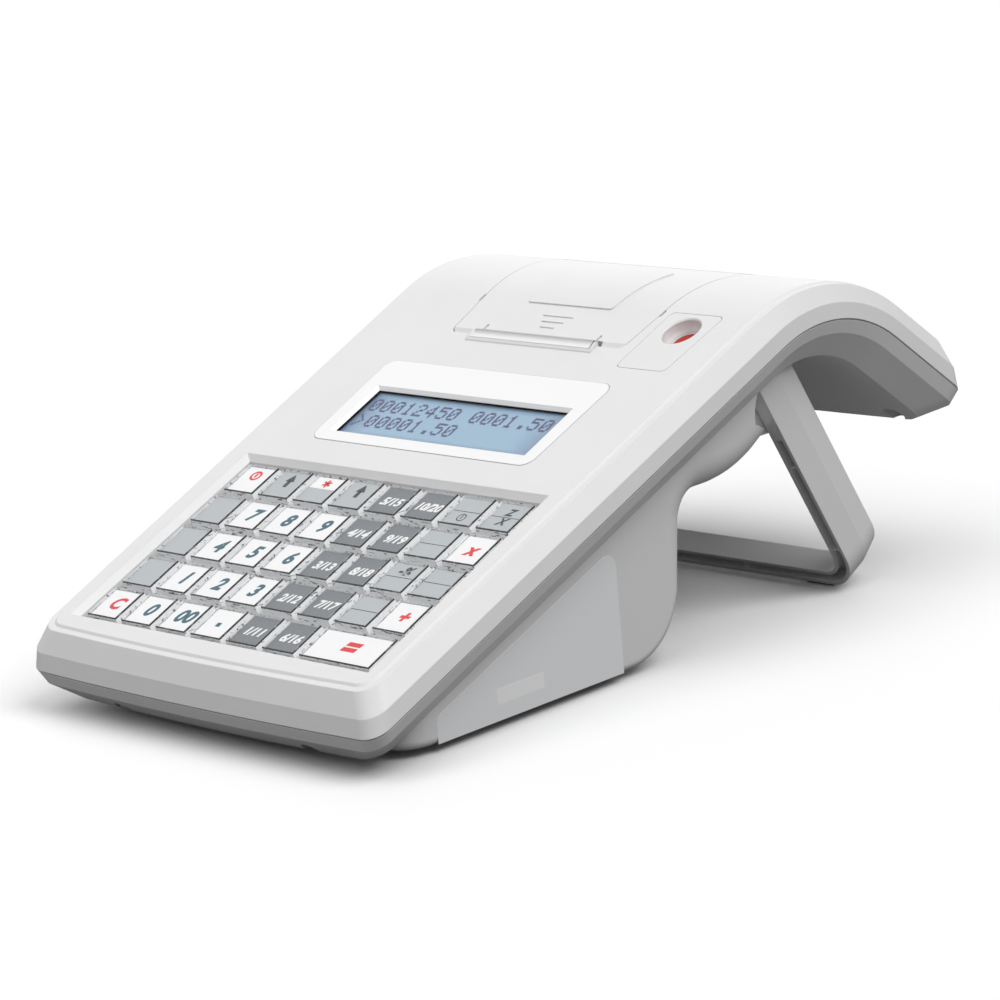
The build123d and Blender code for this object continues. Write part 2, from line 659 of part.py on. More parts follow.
def operator_pane(gap):
    """Clear pane of the operator's window, grown by a gap."""
    half, front, back = WINDOW_HALF + 1.5 + gap, WINDOW_FRONT - 1.2 - gap, WINDOW_BACK + 1.2 + gap
    return face_block(-half, half, front, back, PANE_BOTTOM - gap / 2, PANE_TOP + gap / 2)


def make_display_modules():
    """Two liquid crystal modules, each a glass in a metal frame on its board, and the operator's gasket."""
    middle = (WINDOW_FRONT + WINDOW_BACK) / 2
    gasket = face_block(-52.8, 52.8, WINDOW_FRONT - 2.3, WINDOW_BACK + 2.3, GLASS_TOP, -BEZEL_THICK)
    gasket -= face_block(-WINDOW_HALF, WINDOW_HALF, WINDOW_FRONT, WINDOW_BACK, -5, 0)
    gasket -= operator_pane(0.1)
    glass = face_block(-51.5, 51.5, middle - 13.4, middle + 13.4, -5.0, GLASS_TOP)
    frame = face_block(-54.5, 54.5, middle - 16.5, middle + 16.5, -9.5, -4.2) - face_block(
        -51.6, 51.6, middle - 13.5, middle + 13.5, -5.0, 0
    )
    board = face_block(-60, 60, middle - 17.5, middle + 19.5, -11.1, -9.5)
    customer_glass = customer_prism(-2.6, -4.0, -1.6, 0)
    customer_board = customer_prism(1.0, -6.4, -4.0, 0)
    return group([gasket, glass, frame, board, customer_glass, customer_board])


# ================================================================ printer
def make_cover():
    """Printer cover: skin over the hump, raised pad, hinge knuckle with stub pins, platen arms."""
    skin = slab(0, -WALL, 80) & face_prism(printer_outline(0), -60, 12, 3.2, outer_front_corner)
    skin -= face_block(-EXIT_HALF, EXIT_HALF, COVER_FRONT - 1, EXIT_EDGE, -5, 5)
    skin -= behind_hinge(0)
    low, high = COVER_LIP
    skin -= across_face([low, high, (high[0], 1.0), (low[0], 1.0)], 60)
    skin += knuckle(KNUCKLE_RADIUS, 49.6)
    skin += cross_cylinder(COVER_HINGE.Y, COVER_HINGE.Z, PIN_RADIUS, -54.0, 54.0)
    pad_outline = [(-21.8, 210.2), (21.8, 210.2), (25.0, 242), (-25.0, 242)]
    skin += slab(0.5, -1, 80) & face_prism(pad_outline, -40, 12, 1.5)
    for side in (-1, 1):
        x = side * 30.9
        arm = face_block(x - 0.8, x + 0.8, PLATEN_T - 3.4, PLATEN_T + 6, -PLATEN_DEPTH - 3.2, -1.5)
        skin += arm
        skin -= face_block(side * 29.4 - 0.6, side * 29.4 + 0.6, EXIT_EDGE - 1, EXIT_EDGE + 3.2, -1.2, 1)
    skin -= cross_cylinder(PLATEN_CENTRE.Y, PLATEN_CENTRE.Z, SHAFT_RADIUS + RUNNING_GAP, -32, 32)
    for width, t in ((15.4, 203.6), (11.0, 200.1), (7.0, 196.7)):
        skin += face_block(-width / 2, width / 2, t - 0.35, t + 0.35, -1, 0.35)
    return skin


def make_tear_bar():
    """Comb of steel teeth that lies on its lip, over the front of the paper slot."""
    teeth = int(2 * BAR_HALF / TOOTH_PITCH)
    start = -teeth * TOOTH_PITCH / 2
    points = [(start, BAR_BACK)]
    for index in range(teeth):
        x = start + index * TOOTH_PITCH
        points += [(x, BAR_ROOT), (x + TOOTH_PITCH * 0.3, BAR_TIP), (x + TOOTH_PITCH * 0.7, BAR_TIP)]
    points += [(-start, BAR_ROOT), (-start, BAR_BACK)]
    return extrude(tear_plane() * make_face(Polyline(*points, close=True)), BAR_THICK / 2, both=True)


def tear_plane():
    """Middle plane of the tear bar, with Y towards its teeth."""
    return Plane(FACE * Pos(0, 187.9, 1.1) * Rot(12, 0, 0))


def make_print_mechanism():
    """Print head and side frames that the platen drops between."""
    t, n = PLATEN_T, -PLATEN_DEPTH
    frame = face_block(-34.2, 34.2, 176, 202, -20.5, -18.7)
    for side in (-1, 1):
        plate = face_block(side * 33.3 - 0.9, side * 33.3 + 0.9, 176, 202, -20.5, -5.0)
        frame += plate
    notch = [(t - 1.7, n), (t - 2.2, 0), (t + 3.6, 0), (t + 1.7, n)]
    frame -= across_face(notch, 40)
    frame -= cross_cylinder(PLATEN_CENTRE.Y, PLATEN_CENTRE.Z, SHAFT_RADIUS + 0.2, -40, 40)
    head = face_block(-31, 31, 178, 190.6, -18.7, -6.0) - cross_cylinder(
        PLATEN_CENTRE.Y, PLATEN_CENTRE.Z, PLATEN_RADIUS + 0.35, -40, 40
    )
    roll_room = cross_cylinder(*ROLL_CENTRE, ROLL_RADIUS + 3.2, -ROLL_WIDTH / 2 - 3, ROLL_WIDTH / 2 + 3)
    motor = face_block(36.0, 50.0, 180, 196, -20, -6.5)
    return group([frame + head - roll_room, motor])


def make_platen():
    """Rubber roller on its steel shaft."""
    y, z = PLATEN_CENTRE.Y, PLATEN_CENTRE.Z
    sleeve = cross_cylinder(y, z, PLATEN_RADIUS, -29.2, 29.2) - cross_cylinder(y, z, SHAFT_RADIUS, -30, 30)
    return group([sleeve, cross_cylinder(y, z, SHAFT_RADIUS, -34.1, 34.1)])


def make_paper_roll():
    """Ticket paper wound on its core."""
    y, z = ROLL_CENTRE
    half = ROLL_WIDTH / 2
    roll = cross_cylinder(y, z, ROLL_RADIUS, -half, half)
    return roll - cross_cylinder(y, z, CORE_RADIUS, -half - 1, half + 1)


# ================================================================ seal
def make_seal_panel():
    """Flush cover of the sealed memory, with the seal's hole."""
    panel = face_prism(PANEL_OUTLINE, -1.4, 0.0, 2.4)
    hole = FACE * Pos(*SEAL_SPOT, -1) * Cylinder(SEAL_RADIUS, 6)
    rim = FACE * Pos(*SEAL_SPOT, -0.25) * Cone(SEAL_RADIUS, SEAL_RADIUS + 0.5, 0.51)
    return panel - hole - rim


def make_seal_cup():
    """Steel cup washer at the bottom of the seal's well."""
    ring = FACE * Pos(*SEAL_SPOT, -SEAL_DEPTH - 1.2) * Cylinder(SEAL_RADIUS - 0.1, 1.6)
    return ring - FACE * Pos(*SEAL_SPOT, -SEAL_DEPTH) * Cylinder(5.4, 2.4)


def make_seal_plug():
    """Red seal that fills the cup."""
    return FACE * Pos(*SEAL_SPOT, -SEAL_DEPTH - 0.75) * Cylinder(5.35, 0.9)


# ================================================================ stand, feet, screws
def make_stand():
    """Folding stand: a U of channel section, open to the front, with stub pins at its top."""
    inside = -STAND_BAR
    outer = stand_ring(0, 0, STAND_STRAIGHT, STAND_CORNER) + stand_taper(0, -STAND_TAPER, STAND_CORNER)
    inner = stand_ring(inside, -1, STAND_STRAIGHT, STAND_CORNER - STAND_BAR)
    inner += stand_taper(inside, inside + STAND_TAPER, STAND_CORNER)
    groove = stand_ring(-STAND_WALL, -1, 8, STAND_CORNER - STAND_WALL)
    groove -= stand_ring(inside + STAND_WALL, -2, 9, STAND_CORNER - STAND_BAR + STAND_WALL)
    groove &= STAND * Pos(0, -60, 0) * Box(200, 104, 60)
    stand = outer - inner - groove
    half = STAND_DEPTH / 2
    side = [(-half, -120), (half, -120), (half, STAND_TOP), (-half, STAND_TOP)]
    side = make_face(Polyline(*side, close=True))
    side = fillet(side.vertices().sort_by(Axis.Y)[-2:], STAND_TOP_CORNER)
    across = Plane(origin=STAND.origin - STAND.x_dir * 100, x_dir=-STAND.z_dir, z_dir=STAND.x_dir)
    stand &= extrude(across * side, 200)
    rib_middle = STAND_HALF - STAND_BAR / 2
    for v in (-22.0, -62.0):
        for x in (-rib_middle, rib_middle):
            stand += STAND * Pos(x, v, half - 5) * Box(STAND_BAR - 1, 1.0, 8)
    for x in (-25.0, 25.0):
        stand += STAND * Pos(x, -STAND_FOOT + STAND_BAR / 2, half - 5) * Box(1.0, STAND_BAR - 1, 8)
    relief, depth = STAND_RELIEF
    stand -= STAND * Pos(0, -STAND_FOOT, half - depth - 10) * Box(2 * relief, 30, 20)
    y, z = STAND_PIVOT
    stub = cross_cylinder(y, z, STUB_RADIUS, 70.0, STAND_HALF - 4)
    stand += stub + mirror(stub, Plane.YZ)
    return stand - make_stand_pads()


def make_stand_pads():
    """Two rubber pads let into the underside of the bar; their front edges lie on the table."""
    front = STAND_DEPTH / 2 - PAD_INSET
    drop = STAND.from_local_coords(Vector(0, -STAND_FOOT, front)).Z / math.cos(LEAN)
    height = PAD_SEAT + drop
    pad = STAND * Pos(PAD_X, -STAND_FOOT - drop + height / 2, front - PAD_LENGTH / 2)
    return twin(pad * Box(PAD_WIDTH, height, PAD_LENGTH))


def make_case_feet():
    """Four rubber feet under the base."""
    spots = [(side * x, y) for x, y in FEET for side in (-1, 1)]
    feet = [upright(x, y, 0, BASE_BOTTOM + FOOT_SEAT, FOOT_RADIUS) for x, y in spots]
    return group([chamfer(foot.edges().sort_by(Axis.Z)[0], 0.5) for foot in feet])


def make_case_screws():
    """Six screws that hold the case halves together."""
    x, y, meet = BASE_SCREW
    screw = upright(x, y, meet - 5, meet - 3, HEAD_RADIUS)
    screw += upright(x, y, meet - 5, meet + 11, SCREW_RADIUS)
    pieces = [screw, mirror(screw, Plane.YZ)]
    for place in EDGE_SCREWS:
        screw = edge_post(place, -20.5, -18.5, HEAD_RADIUS)
        screw += edge_post(place, -20.5, EDGE_SCREW_END, SCREW_RADIUS)
        pieces += [screw, mirror(screw, Plane.YZ)]
    return group(pieces)


# ================================================================ write the nodes
def main():
    """Build every node and write it to parts/."""
    os.makedirs("parts", exist_ok=True)
    save("upper_case", make_upper_case())
    save("lower_case", make_lower_case())
    save("battery_pack", make_battery())
    save("key_frame", make_key_frame())
    save("key_mat", make_key_mat())
    save("circuit_boards", make_circuit_boards())
    save("display_bezel", make_display_bezel())
    save("display_windows", make_display_windows())
    save("display_modules", make_display_modules())
    save("printer_cover", make_cover())
    save("tear_bar", make_tear_bar())
    save("print_mechanism", make_print_mechanism())
    save("platen_roller", make_platen())
    save("paper_roll", make_paper_roll())
    save("seal_panel", make_seal_panel())
    save("seal_cup", make_seal_cup())
    save("seal_plug", make_seal_plug())
    save("stand", make_stand())
    save("stand_pads", make_stand_pads())
    save("case_feet", make_case_feet())
    save("case_screws", make_case_screws())
    for row, column, width in key_places():
        save(f"key_row{row + 1}_col{column + 1}", make_key(row, column, width))


main()
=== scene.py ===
"""Looks of a portable cash register: its finishes, key caps and legends, display figures and seal.

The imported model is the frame. Every length here is in metres, in the frame of that model: +X to the
operator's right, +Y towards the tail and +Z up, with the origin on the table.
"""

from __future__ import annotations

import logging
import math
from dataclasses import dataclass, field
from enum import Enum
from typing import Iterator, Protocol

import bmesh
import bpy
from mathutils import Matrix, Vector

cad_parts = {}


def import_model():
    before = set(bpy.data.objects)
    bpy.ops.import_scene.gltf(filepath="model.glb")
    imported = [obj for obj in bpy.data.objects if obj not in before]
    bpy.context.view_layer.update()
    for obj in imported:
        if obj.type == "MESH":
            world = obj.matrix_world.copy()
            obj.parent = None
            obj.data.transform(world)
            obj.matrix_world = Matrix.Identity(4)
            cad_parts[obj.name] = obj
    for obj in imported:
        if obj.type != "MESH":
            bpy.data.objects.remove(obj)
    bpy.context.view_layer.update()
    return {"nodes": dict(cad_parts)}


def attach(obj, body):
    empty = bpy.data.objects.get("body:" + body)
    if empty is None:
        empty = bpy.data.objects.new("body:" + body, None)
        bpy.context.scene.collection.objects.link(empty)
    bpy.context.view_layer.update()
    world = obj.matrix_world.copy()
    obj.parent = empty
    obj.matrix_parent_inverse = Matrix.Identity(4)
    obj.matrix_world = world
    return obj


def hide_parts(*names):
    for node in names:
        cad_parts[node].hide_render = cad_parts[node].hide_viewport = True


MM = 0.001
log = logging.getLogger("register")


# ---------------------------------------------------------------- places
@dataclass(frozen=True)
class WorkingFace:
    """The sloping top of the register, with its own coordinates.

    x runs to the right, t up the slope from the front edge and n out of the face.
    """

    slope: float = math.radians(23.0)
    edge: Vector = field(default_factory=lambda: Vector((0.0, -0.14763, 0.0311)))

    def matrix(self, x: float = 0.0, t: float = 0.0, n: float = 0.0) -> Matrix:
        """Place of a point on the face, turned with the face.

        Args:
            x: Distance to the right of the middle.
            t: Distance up the slope.
            n: Height above the face.

        Returns:
            The matrix that carries a piece made at the origin to that point.
        """
        turn = Matrix.Rotation(self.slope, 4, "X")
        return Matrix.Translation(self.edge) @ turn @ Matrix.Translation((x, t, n))


FACE = WorkingFace()


# ---------------------------------------------------------------- shader maths
class Wire:
    """A socket that Python's operators work on."""

    def __init__(self, tree: bpy.types.NodeTree, socket: bpy.types.NodeSocket) -> None:
        """Keep the socket and the tree that it is in."""
        self.tree = tree
        self.socket = socket

    def _math(self, operation: str, first: Wire | float, second: Wire | float) -> Wire:
        """Add one Math node.

        Args:
            operation: Name of the operation.
            first: First operand.
            second: Second operand.

        Returns:
            The result.
        """
        node = self.tree.nodes.new("ShaderNodeMath")
        node.operation = operation
        for place, value in enumerate((first, second)):
            if isinstance(value, Wire):
                self.tree.links.new(value.socket, node.inputs[place])
            else:
                node.inputs[place].default_value = value
        return Wire(self.tree, node.outputs[0])

    def __add__(self, other: Wire | float) -> Wire:
        """Sum."""
        return self._math("ADD", self, other)

    def __radd__(self, other: float) -> Wire:
        """Sum, with the number first."""
        return self._math("ADD", other, self)

    def __sub__(self, other: Wire | float) -> Wire:
        """Difference."""
        return self._math("SUBTRACT", self, other)

    def __rsub__(self, other: float) -> Wire:
        """Difference, with the number first."""
        return self._math("SUBTRACT", other, self)

    def __mul__(self, other: Wire | float) -> Wire:
        """Product."""
        return self._math("MULTIPLY", self, other)

    def __rmul__(self, other: float) -> Wire:
        """Product, with the number first."""
        return self._math("MULTIPLY", other, self)

    def highest(self, other: Wire | float) -> Wire:
        """The larger of two values."""
        return self._math("MAXIMUM", self, other)


Triple = tuple[float, float, float]
Colour = Triple


class Recipe:
    """The node tree of one material while it is put together."""

    def __init__(self, name: str) -> None:
        """Start an empty material with one output."""
        self.material = bpy.data.materials.new(name)
        self.material.use_nodes = True
        self.tree = self.material.node_tree
        self.tree.nodes.clear()
        self.output = self.tree.nodes.new("ShaderNodeOutputMaterial")

    def node(
        self,
        kind: str,
        settings: dict[str, object] | None = None,
        values: dict[str, object] | None = None,
        output: int | str = 0,
    ) -> Wire:
        """Add a node.

        Args:
            kind: Type of the node.
            settings: Properties of the node, set first; "stops" holds a ramp's places and greys.
            values: Inputs by name, each a wire or a plain value.
            output: Which output is wanted.

        Returns:
            That output.
        """
        made = self.tree.nodes.new(kind)
        for name, value in (settings or {}).items():
            if name == "stops":
                self._stops(made.color_ramp, value)
            else:
                setattr(made, name, value)
        for name, value in (values or {}).items():
            if isinstance(value, Wire):
                self.tree.links.new(value.socket, made.inputs[name])
            elif isinstance(value, tuple) and len(value) == 3 and made.inputs[name].type == "RGBA":
                made.inputs[name].default_value = (*value, 1.0)
            else:
                made.inputs[name].default_value = value
        return Wire(self.tree, made.outputs[output])

    @staticmethod
    def _stops(ramp: bpy.types.ColorRamp, stops: list[tuple[float, float]]) -> None:
        """Give a ramp its places and greys."""
        while len(ramp.elements) < len(stops):
            ramp.elements.new(1.0)
        for element, (place, grey) in zip(ramp.elements, stops):
            element.position = place
            element.color = (grey, grey, grey, 1.0)

    def coordinates(self) -> Wire:
        """Object coordinates, in metres."""
        return self.node("ShaderNodeTexCoord", output="Object")

    def noise(self, size: float, detail: float = 2.0) -> Wire:
        """Noise of a given grain.

        Args:
            size: Size of the grain.
            detail: Octaves.

        Returns:
            A value between 0 and 1.
        """
        values = {"Vector": self.coordinates(), "Scale": 1.0 / size, "Detail": detail}
        return self.node("ShaderNodeTexNoise", values=values, output="Fac")

    def mix(self, factor: Wire | float, first: Colour | Wire, second: Colour | Wire) -> Wire:
        """Mix of two colours.

        Args:
            factor: Share of the second colour.
            first: First colour.
            second: Second colour.

        Returns:
            The mixed colour.
        """
        made = self.tree.nodes.new("ShaderNodeMix")
        made.data_type = "RGBA"
        for place, value in ((0, factor), (6, first), (7, second)):
            if isinstance(value, Wire):
                self.tree.links.new(value.socket, made.inputs[place])
            elif isinstance(value, tuple):
                made.inputs[place].default_value = (*value, 1.0)
            else:
                made.inputs[place].default_value = value
        return Wire(self.tree, made.outputs[2])

    def bump(self, height: Wire, depth: float, normal: Wire | None = None) -> Wire:
        """Bump from a height between 0 and 1.

        Args:
            height: The height.
            depth: Depth of the relief.
            normal: Normal to start from.

        Returns:
            The bent normal.
        """
        values: dict[str, object] = {"Height": height, "Distance": depth, "Strength": 1.0}
        if normal is not None:
            values["Normal"] = normal
        return self.node("ShaderNodeBump", values=values)

    def split(self, vector: Wire) -> tuple[Wire, Wire]:
        """X and Y of a vector."""
        parts = self.node("ShaderNodeSeparateXYZ", values={"Vector": vector}).socket.node
        return Wire(self.tree, parts.outputs[0]), Wire(self.tree, parts.outputs[1])

    def finish(self, surface: Wire) -> bpy.types.Material:
        """Join the surface to the output and hand the material over."""
        self.tree.links.new(surface.socket, self.output.inputs["Surface"])
        return self.material

    def solid(self, values: dict[str, object]) -> bpy.types.Material:
        """Finish as an opaque surface with these inputs."""
        return self.finish(self.node("ShaderNodeBsdfPrincipled", values=values))


# ---------------------------------------------------------------- finishes
@dataclass(frozen=True)
class MouldedPlastic:
    """Opaque moulded plastic with a fine grain and eased edges."""

    name: str
    colour: Colour
    roughness: float = 0.42
    grain: float = 0.35 * MM
    relief: float = 0.004 * MM
    eased: float = 0.35 * MM
    shade: float = 0.03
    coat: float = 0.0

    def material(self) -> bpy.types.Material:
        """Make the material."""
        recipe = Recipe(self.name)
        cloud = recipe.noise(0.03, 3.0)
        grain = recipe.noise(self.grain, 3.0)
        darker: Colour = tuple(part * (1 - 2 * self.shade) for part in self.colour)
        edge = recipe.node("ShaderNodeBevel", {"samples": 6}, {"Radius": self.eased})
        values = {
            "Base Color": recipe.mix(cloud, self.colour, darker),
            "Roughness": self.roughness + 0.08 * (grain - 0.5),
            "Normal": recipe.bump(grain, self.relief, edge),
            "Coat Weight": self.coat,
            "Coat Roughness": 0.08,
        }
        return recipe.solid(values)


@dataclass(frozen=True)
class ClearPlastic:
    """Thin clear plastic: what it covers shows through, under a faint gloss."""

    name: str
    gloss: float = 0.035
    roughness: float = 0.12

    def material(self) -> bpy.types.Material:
        """Make the material."""
        recipe = Recipe(self.name)
        haze = recipe.noise(4.0 * MM, 1.0)
        values = {
            "Base Color": (0.8, 0.8, 0.8),
            "Roughness": self.roughness * (0.6 + 0.8 * haze),
            "Metallic": 1.0,
        }
        gloss = recipe.node("ShaderNodeBsdfPrincipled", values=values)
        clear = recipe.node("ShaderNodeBsdfTransparent")
        facing = recipe.node("ShaderNodeLayerWeight", values={"Blend": 0.5}, output="Facing")
        mixed = recipe.tree.nodes.new("ShaderNodeMixShader")
        for place, wire in enumerate((facing * self.gloss, clear, gloss)):
            recipe.tree.links.new(wire.socket, mixed.inputs[place])
        return recipe.finish(Wire(recipe.tree, mixed.outputs[0]))


@dataclass(frozen=True)
class CapWallPaintedRefraction:
    """Side of a clear cap: a pale painted sheen, with fine dark streaks of painted refraction shade between
    first and last.
    """

    name: str
    pale: Colour
    dark: Colour
    stretch: Triple
    first: float = 0.5
    last: float = 0.62

    def material(self) -> bpy.types.Material:
        """Make the material."""
        recipe = Recipe(self.name)
        values = {
            "Vector": recipe.coordinates(),
            "Rotation": (-FACE.slope, 0.0, 0.0),
            "Scale": self.stretch,
        }
        along = recipe.node("ShaderNodeMapping", values=values)
        values = {"Vector": along, "Scale": 1 / MM, "Detail": 2.0}
        # noise stretched along the face paints the refraction lines of clear plastic: painted refraction
        # shade
        painted_streak = recipe.node("ShaderNodeTexNoise", values=values, output="Fac")
        stops = {"stops": [(self.first, 0.0), (self.last, 1.0)]}
        share = recipe.node("ShaderNodeValToRGB", stops, {"Fac": painted_streak})
        values = {
            "Base Color": recipe.mix(share, self.pale, self.dark),
            "Roughness": 0.12 + 0.2 * painted_streak,
            "Coat Weight": 0.6,
        }
        return recipe.solid(values)


@dataclass(frozen=True)
class Metal:
    """Steel with a fine, even grain."""

    name: str
    colour: Colour
    roughness: float

    def material(self) -> bpy.types.Material:
        """Make the material."""
        recipe = Recipe(self.name)
        grain = recipe.noise(0.2 * MM, 3.0)
        values = {
            "Base Color": self.colour,
            "Metallic": 1.0,
            "Roughness": self.roughness + 0.15 * (grain - 0.5),
            "Normal": recipe.bump(grain, 0.001 * MM),
        }
        return recipe.solid(values)


@dataclass(frozen=True)
class SteelWithPaintedFlankShade:
    """Bright steel strip whose teeth have flanks painted near black, a painted shade of the gaps between
    the teeth.
    """

    name: str
    colour: Colour
    dark: Colour

    def material(self) -> bpy.types.Material:
        """Make the material."""
        recipe = Recipe(self.name)
        across, _ = recipe.split(recipe.node("ShaderNodeTexCoord", output="Normal"))
        stops = {"stops": [(0.05, 0.0), (0.15, 1.0)]}
        # faces that look sideways are painted near black: painted shade of the gaps between the teeth
        painted_flank_shade = recipe.node("ShaderNodeValToRGB", stops, {"Fac": across * across})
        grain = recipe.noise(0.3 * MM)
        values = {
            "Base Color": recipe.mix(painted_flank_shade, self.colour, self.dark),
            "Metallic": 1.0,
            "Roughness": 0.3 + 0.1 * (grain - 0.5),
        }
        return recipe.solid(values)


@dataclass(frozen=True)
class PrintedCard:
    """Printed card: a flat colour with a trace of tooth."""

    name: str
    colour: Colour
    roughness: float = 0.5

    def material(self) -> bpy.types.Material:
        """Make the material."""
        recipe = Recipe(self.name)
        tooth = recipe.noise(0.15 * MM)
        darker: Colour = tuple(part * 0.93 for part in self.colour)
        values = {
            "Base Color": recipe.mix(tooth, self.colour, darker),
            "Roughness": self.roughness + 0.1 * (tooth - 0.5),
        }
        return recipe.solid(values)


@dataclass(frozen=True)
class BacklitCrystal:
    """Blue face of a liquid crystal display, with painted shade that darkens it towards its edges."""

    name: str
    middle: Colour
    border: Colour
    centre: Triple
    half: tuple[float, float]

    def material(self) -> bpy.types.Material:
        """Make the material."""
        recipe = Recipe(self.name)
        values = {
            "Vector": recipe.coordinates(),
            "Location": self.centre,
            "Rotation": (FACE.slope, 0.0, 0.0),
        }
        away = recipe.node("ShaderNodeMapping", {"vector_type": "TEXTURE"}, values)
        x, t = recipe.split(away)
        across, along = x * (1 / self.half[0]), t * (1 / self.half[1])
        # painted shade of the window's recess: the blue turns darker towards the edges
        reach = (across * across).highest(along * along)
        stops = {"stops": [(0.55, 0.0), (1.0, 1.0)]}
        shade_share = recipe.node("ShaderNodeValToRGB", stops, {"Fac": reach})
        values = {"Base Color": recipe.mix(shade_share, self.middle, self.border), "Roughness": 0.35}
        return recipe.solid(values)


@dataclass(frozen=True)
class SealingWax:
    """Rough red seal."""

    name: str
    colour: Colour

    def material(self) -> bpy.types.Material:
        """Make the material."""
        recipe = Recipe(self.name)
        lumps = recipe.noise(1.2 * MM, 4.0)
        darker: Colour = tuple(part * 0.35 for part in self.colour)
        values = {
            "Base Color": recipe.mix(lumps, darker, self.colour),
            "Roughness": 0.35 + 0.4 * lumps,
            "Normal": recipe.bump(lumps, 0.4 * MM),
        }
        return recipe.solid(values)


class Maker(Protocol):
    """Whatever can make a material."""

    def material(self) -> bpy.types.Material:
        """Make the material."""


class Finish(Enum):
    """Every finish on the register."""

    CASE = MouldedPlastic("case_white_plastic", (0.78, 0.78, 0.78))
    BEZEL = MouldedPlastic(
        "display_bezel_gloss", (0.84, 0.84, 0.84), 0.16, 4 * MM, 0.001 * MM, 0.3 * MM, 0.005, 0.6
    )
    CAP = ClearPlastic("key_cap_clear")
    # Cap finishes paint light onto clear plastic: the right-side finish is paler than the front finish as
    # painted light and shade, the rim finish carries dashes of painted refraction shade, and the edge
    # finish is near black, a painted dark refraction line along the lid's right and front edges.
    CAP_SIDE = CapWallPaintedRefraction(
        "key_cap_side_painted_sheen", (0.95, 0.96, 0.97), (0.2, 0.2, 0.21), (0.25, 0.25, 1.6), 0.62, 0.68
    )
    CAP_FRONT = CapWallPaintedRefraction(
        "key_cap_front_painted_shade", (0.8, 0.81, 0.82), (0.12, 0.12, 0.13), (0.25, 0.25, 1.2), 0.58, 0.66
    )
    CAP_RIM = CapWallPaintedRefraction(
        "key_cap_rim_painted_streaks", (0.88, 0.89, 0.9), (0.08, 0.08, 0.09), (0.7, 0.7, 0.7), 0.6, 0.64
    )
    CAP_EDGE = CapWallPaintedRefraction(
        "key_cap_edge_painted_dark_line", (0.03, 0.03, 0.035), (0.2, 0.2, 0.21), (0.3, 0.3, 0.3), 0.58, 0.66
    )
    WINDOW = ClearPlastic("window_clear", 0.06, 0.05)
    KEY_BODY = MouldedPlastic("key_body_pale", (0.72, 0.73, 0.74), 0.35)
    LATTICE = MouldedPlastic("key_lattice_pale", (0.8, 0.81, 0.82), 0.3)
    CARD_WHITE = PrintedCard("card_white", (0.93, 0.93, 0.94))
    CARD_GREY = PrintedCard("card_grey", (0.47, 0.5, 0.52))
    CARD_DARK = PrintedCard("card_dark", (0.18, 0.195, 0.21))
    INK_TEAL = PrintedCard("ink_teal", (0.002, 0.085, 0.13), 0.4)
    INK_RED = PrintedCard("ink_red", (0.72, 0.008, 0.012), 0.4)
    INK_BLACK = PrintedCard("ink_black", (0.012, 0.012, 0.014), 0.4)
    INK_WHITE = PrintedCard("ink_white", (0.9, 0.9, 0.9), 0.4)
    RUBBER = MouldedPlastic(
        "rubber_black", (0.018, 0.018, 0.018), 0.75, 0.5 * MM, 0.01 * MM, 0.3 * MM
    )
    MAT = MouldedPlastic("rubber_grey", (0.3, 0.3, 0.31), 0.7)
    BOARD = MouldedPlastic(
        "board_green", (0.02, 0.16, 0.06), 0.35, 2 * MM, 0.002 * MM, 0.1 * MM, 0.1, 0.3
    )
    SLEEVE = MouldedPlastic("sleeve_black", (0.02, 0.02, 0.022), 0.3)
    MECHANISM = MouldedPlastic("mechanism_dark", (0.05, 0.05, 0.055), 0.5)
    MODULE = MouldedPlastic("module_black", (0.015, 0.015, 0.017), 0.4)
    PAPER = PrintedCard("paper_white", (0.9, 0.9, 0.88), 0.7)
    # the second colour is painted shade on the tooth flanks
    STEEL = SteelWithPaintedFlankShade("steel_bright", (0.8, 0.8, 0.81), (0.02, 0.02, 0.02))
    SCREW = Metal("steel_blackened", (0.12, 0.12, 0.12), 0.4)
    CHROME = Metal("chrome_ring", (0.86, 0.86, 0.87), 0.1)
    WAX = SealingWax("seal_red", (0.6, 0.03, 0.015))
    LABEL = PrintedCard("label_silver", (0.89, 0.9, 0.91), 0.45)
    LABEL_FIELD = PrintedCard("label_field", (0.98, 0.98, 0.98), 0.5)
    LCD_INK = PrintedCard("display_ink", (0.008, 0.01, 0.11), 0.4)

    def __init__(self, maker: Maker) -> None:
        """Keep the maker; the material is made when it is first asked for."""
        self.maker = maker
        self.made: bpy.types.Material | None = None

    def material(self) -> bpy.types.Material:
        """The material of this finish, made once."""
        if self.made is None:
            self.made = self.maker.material()
        return self.made


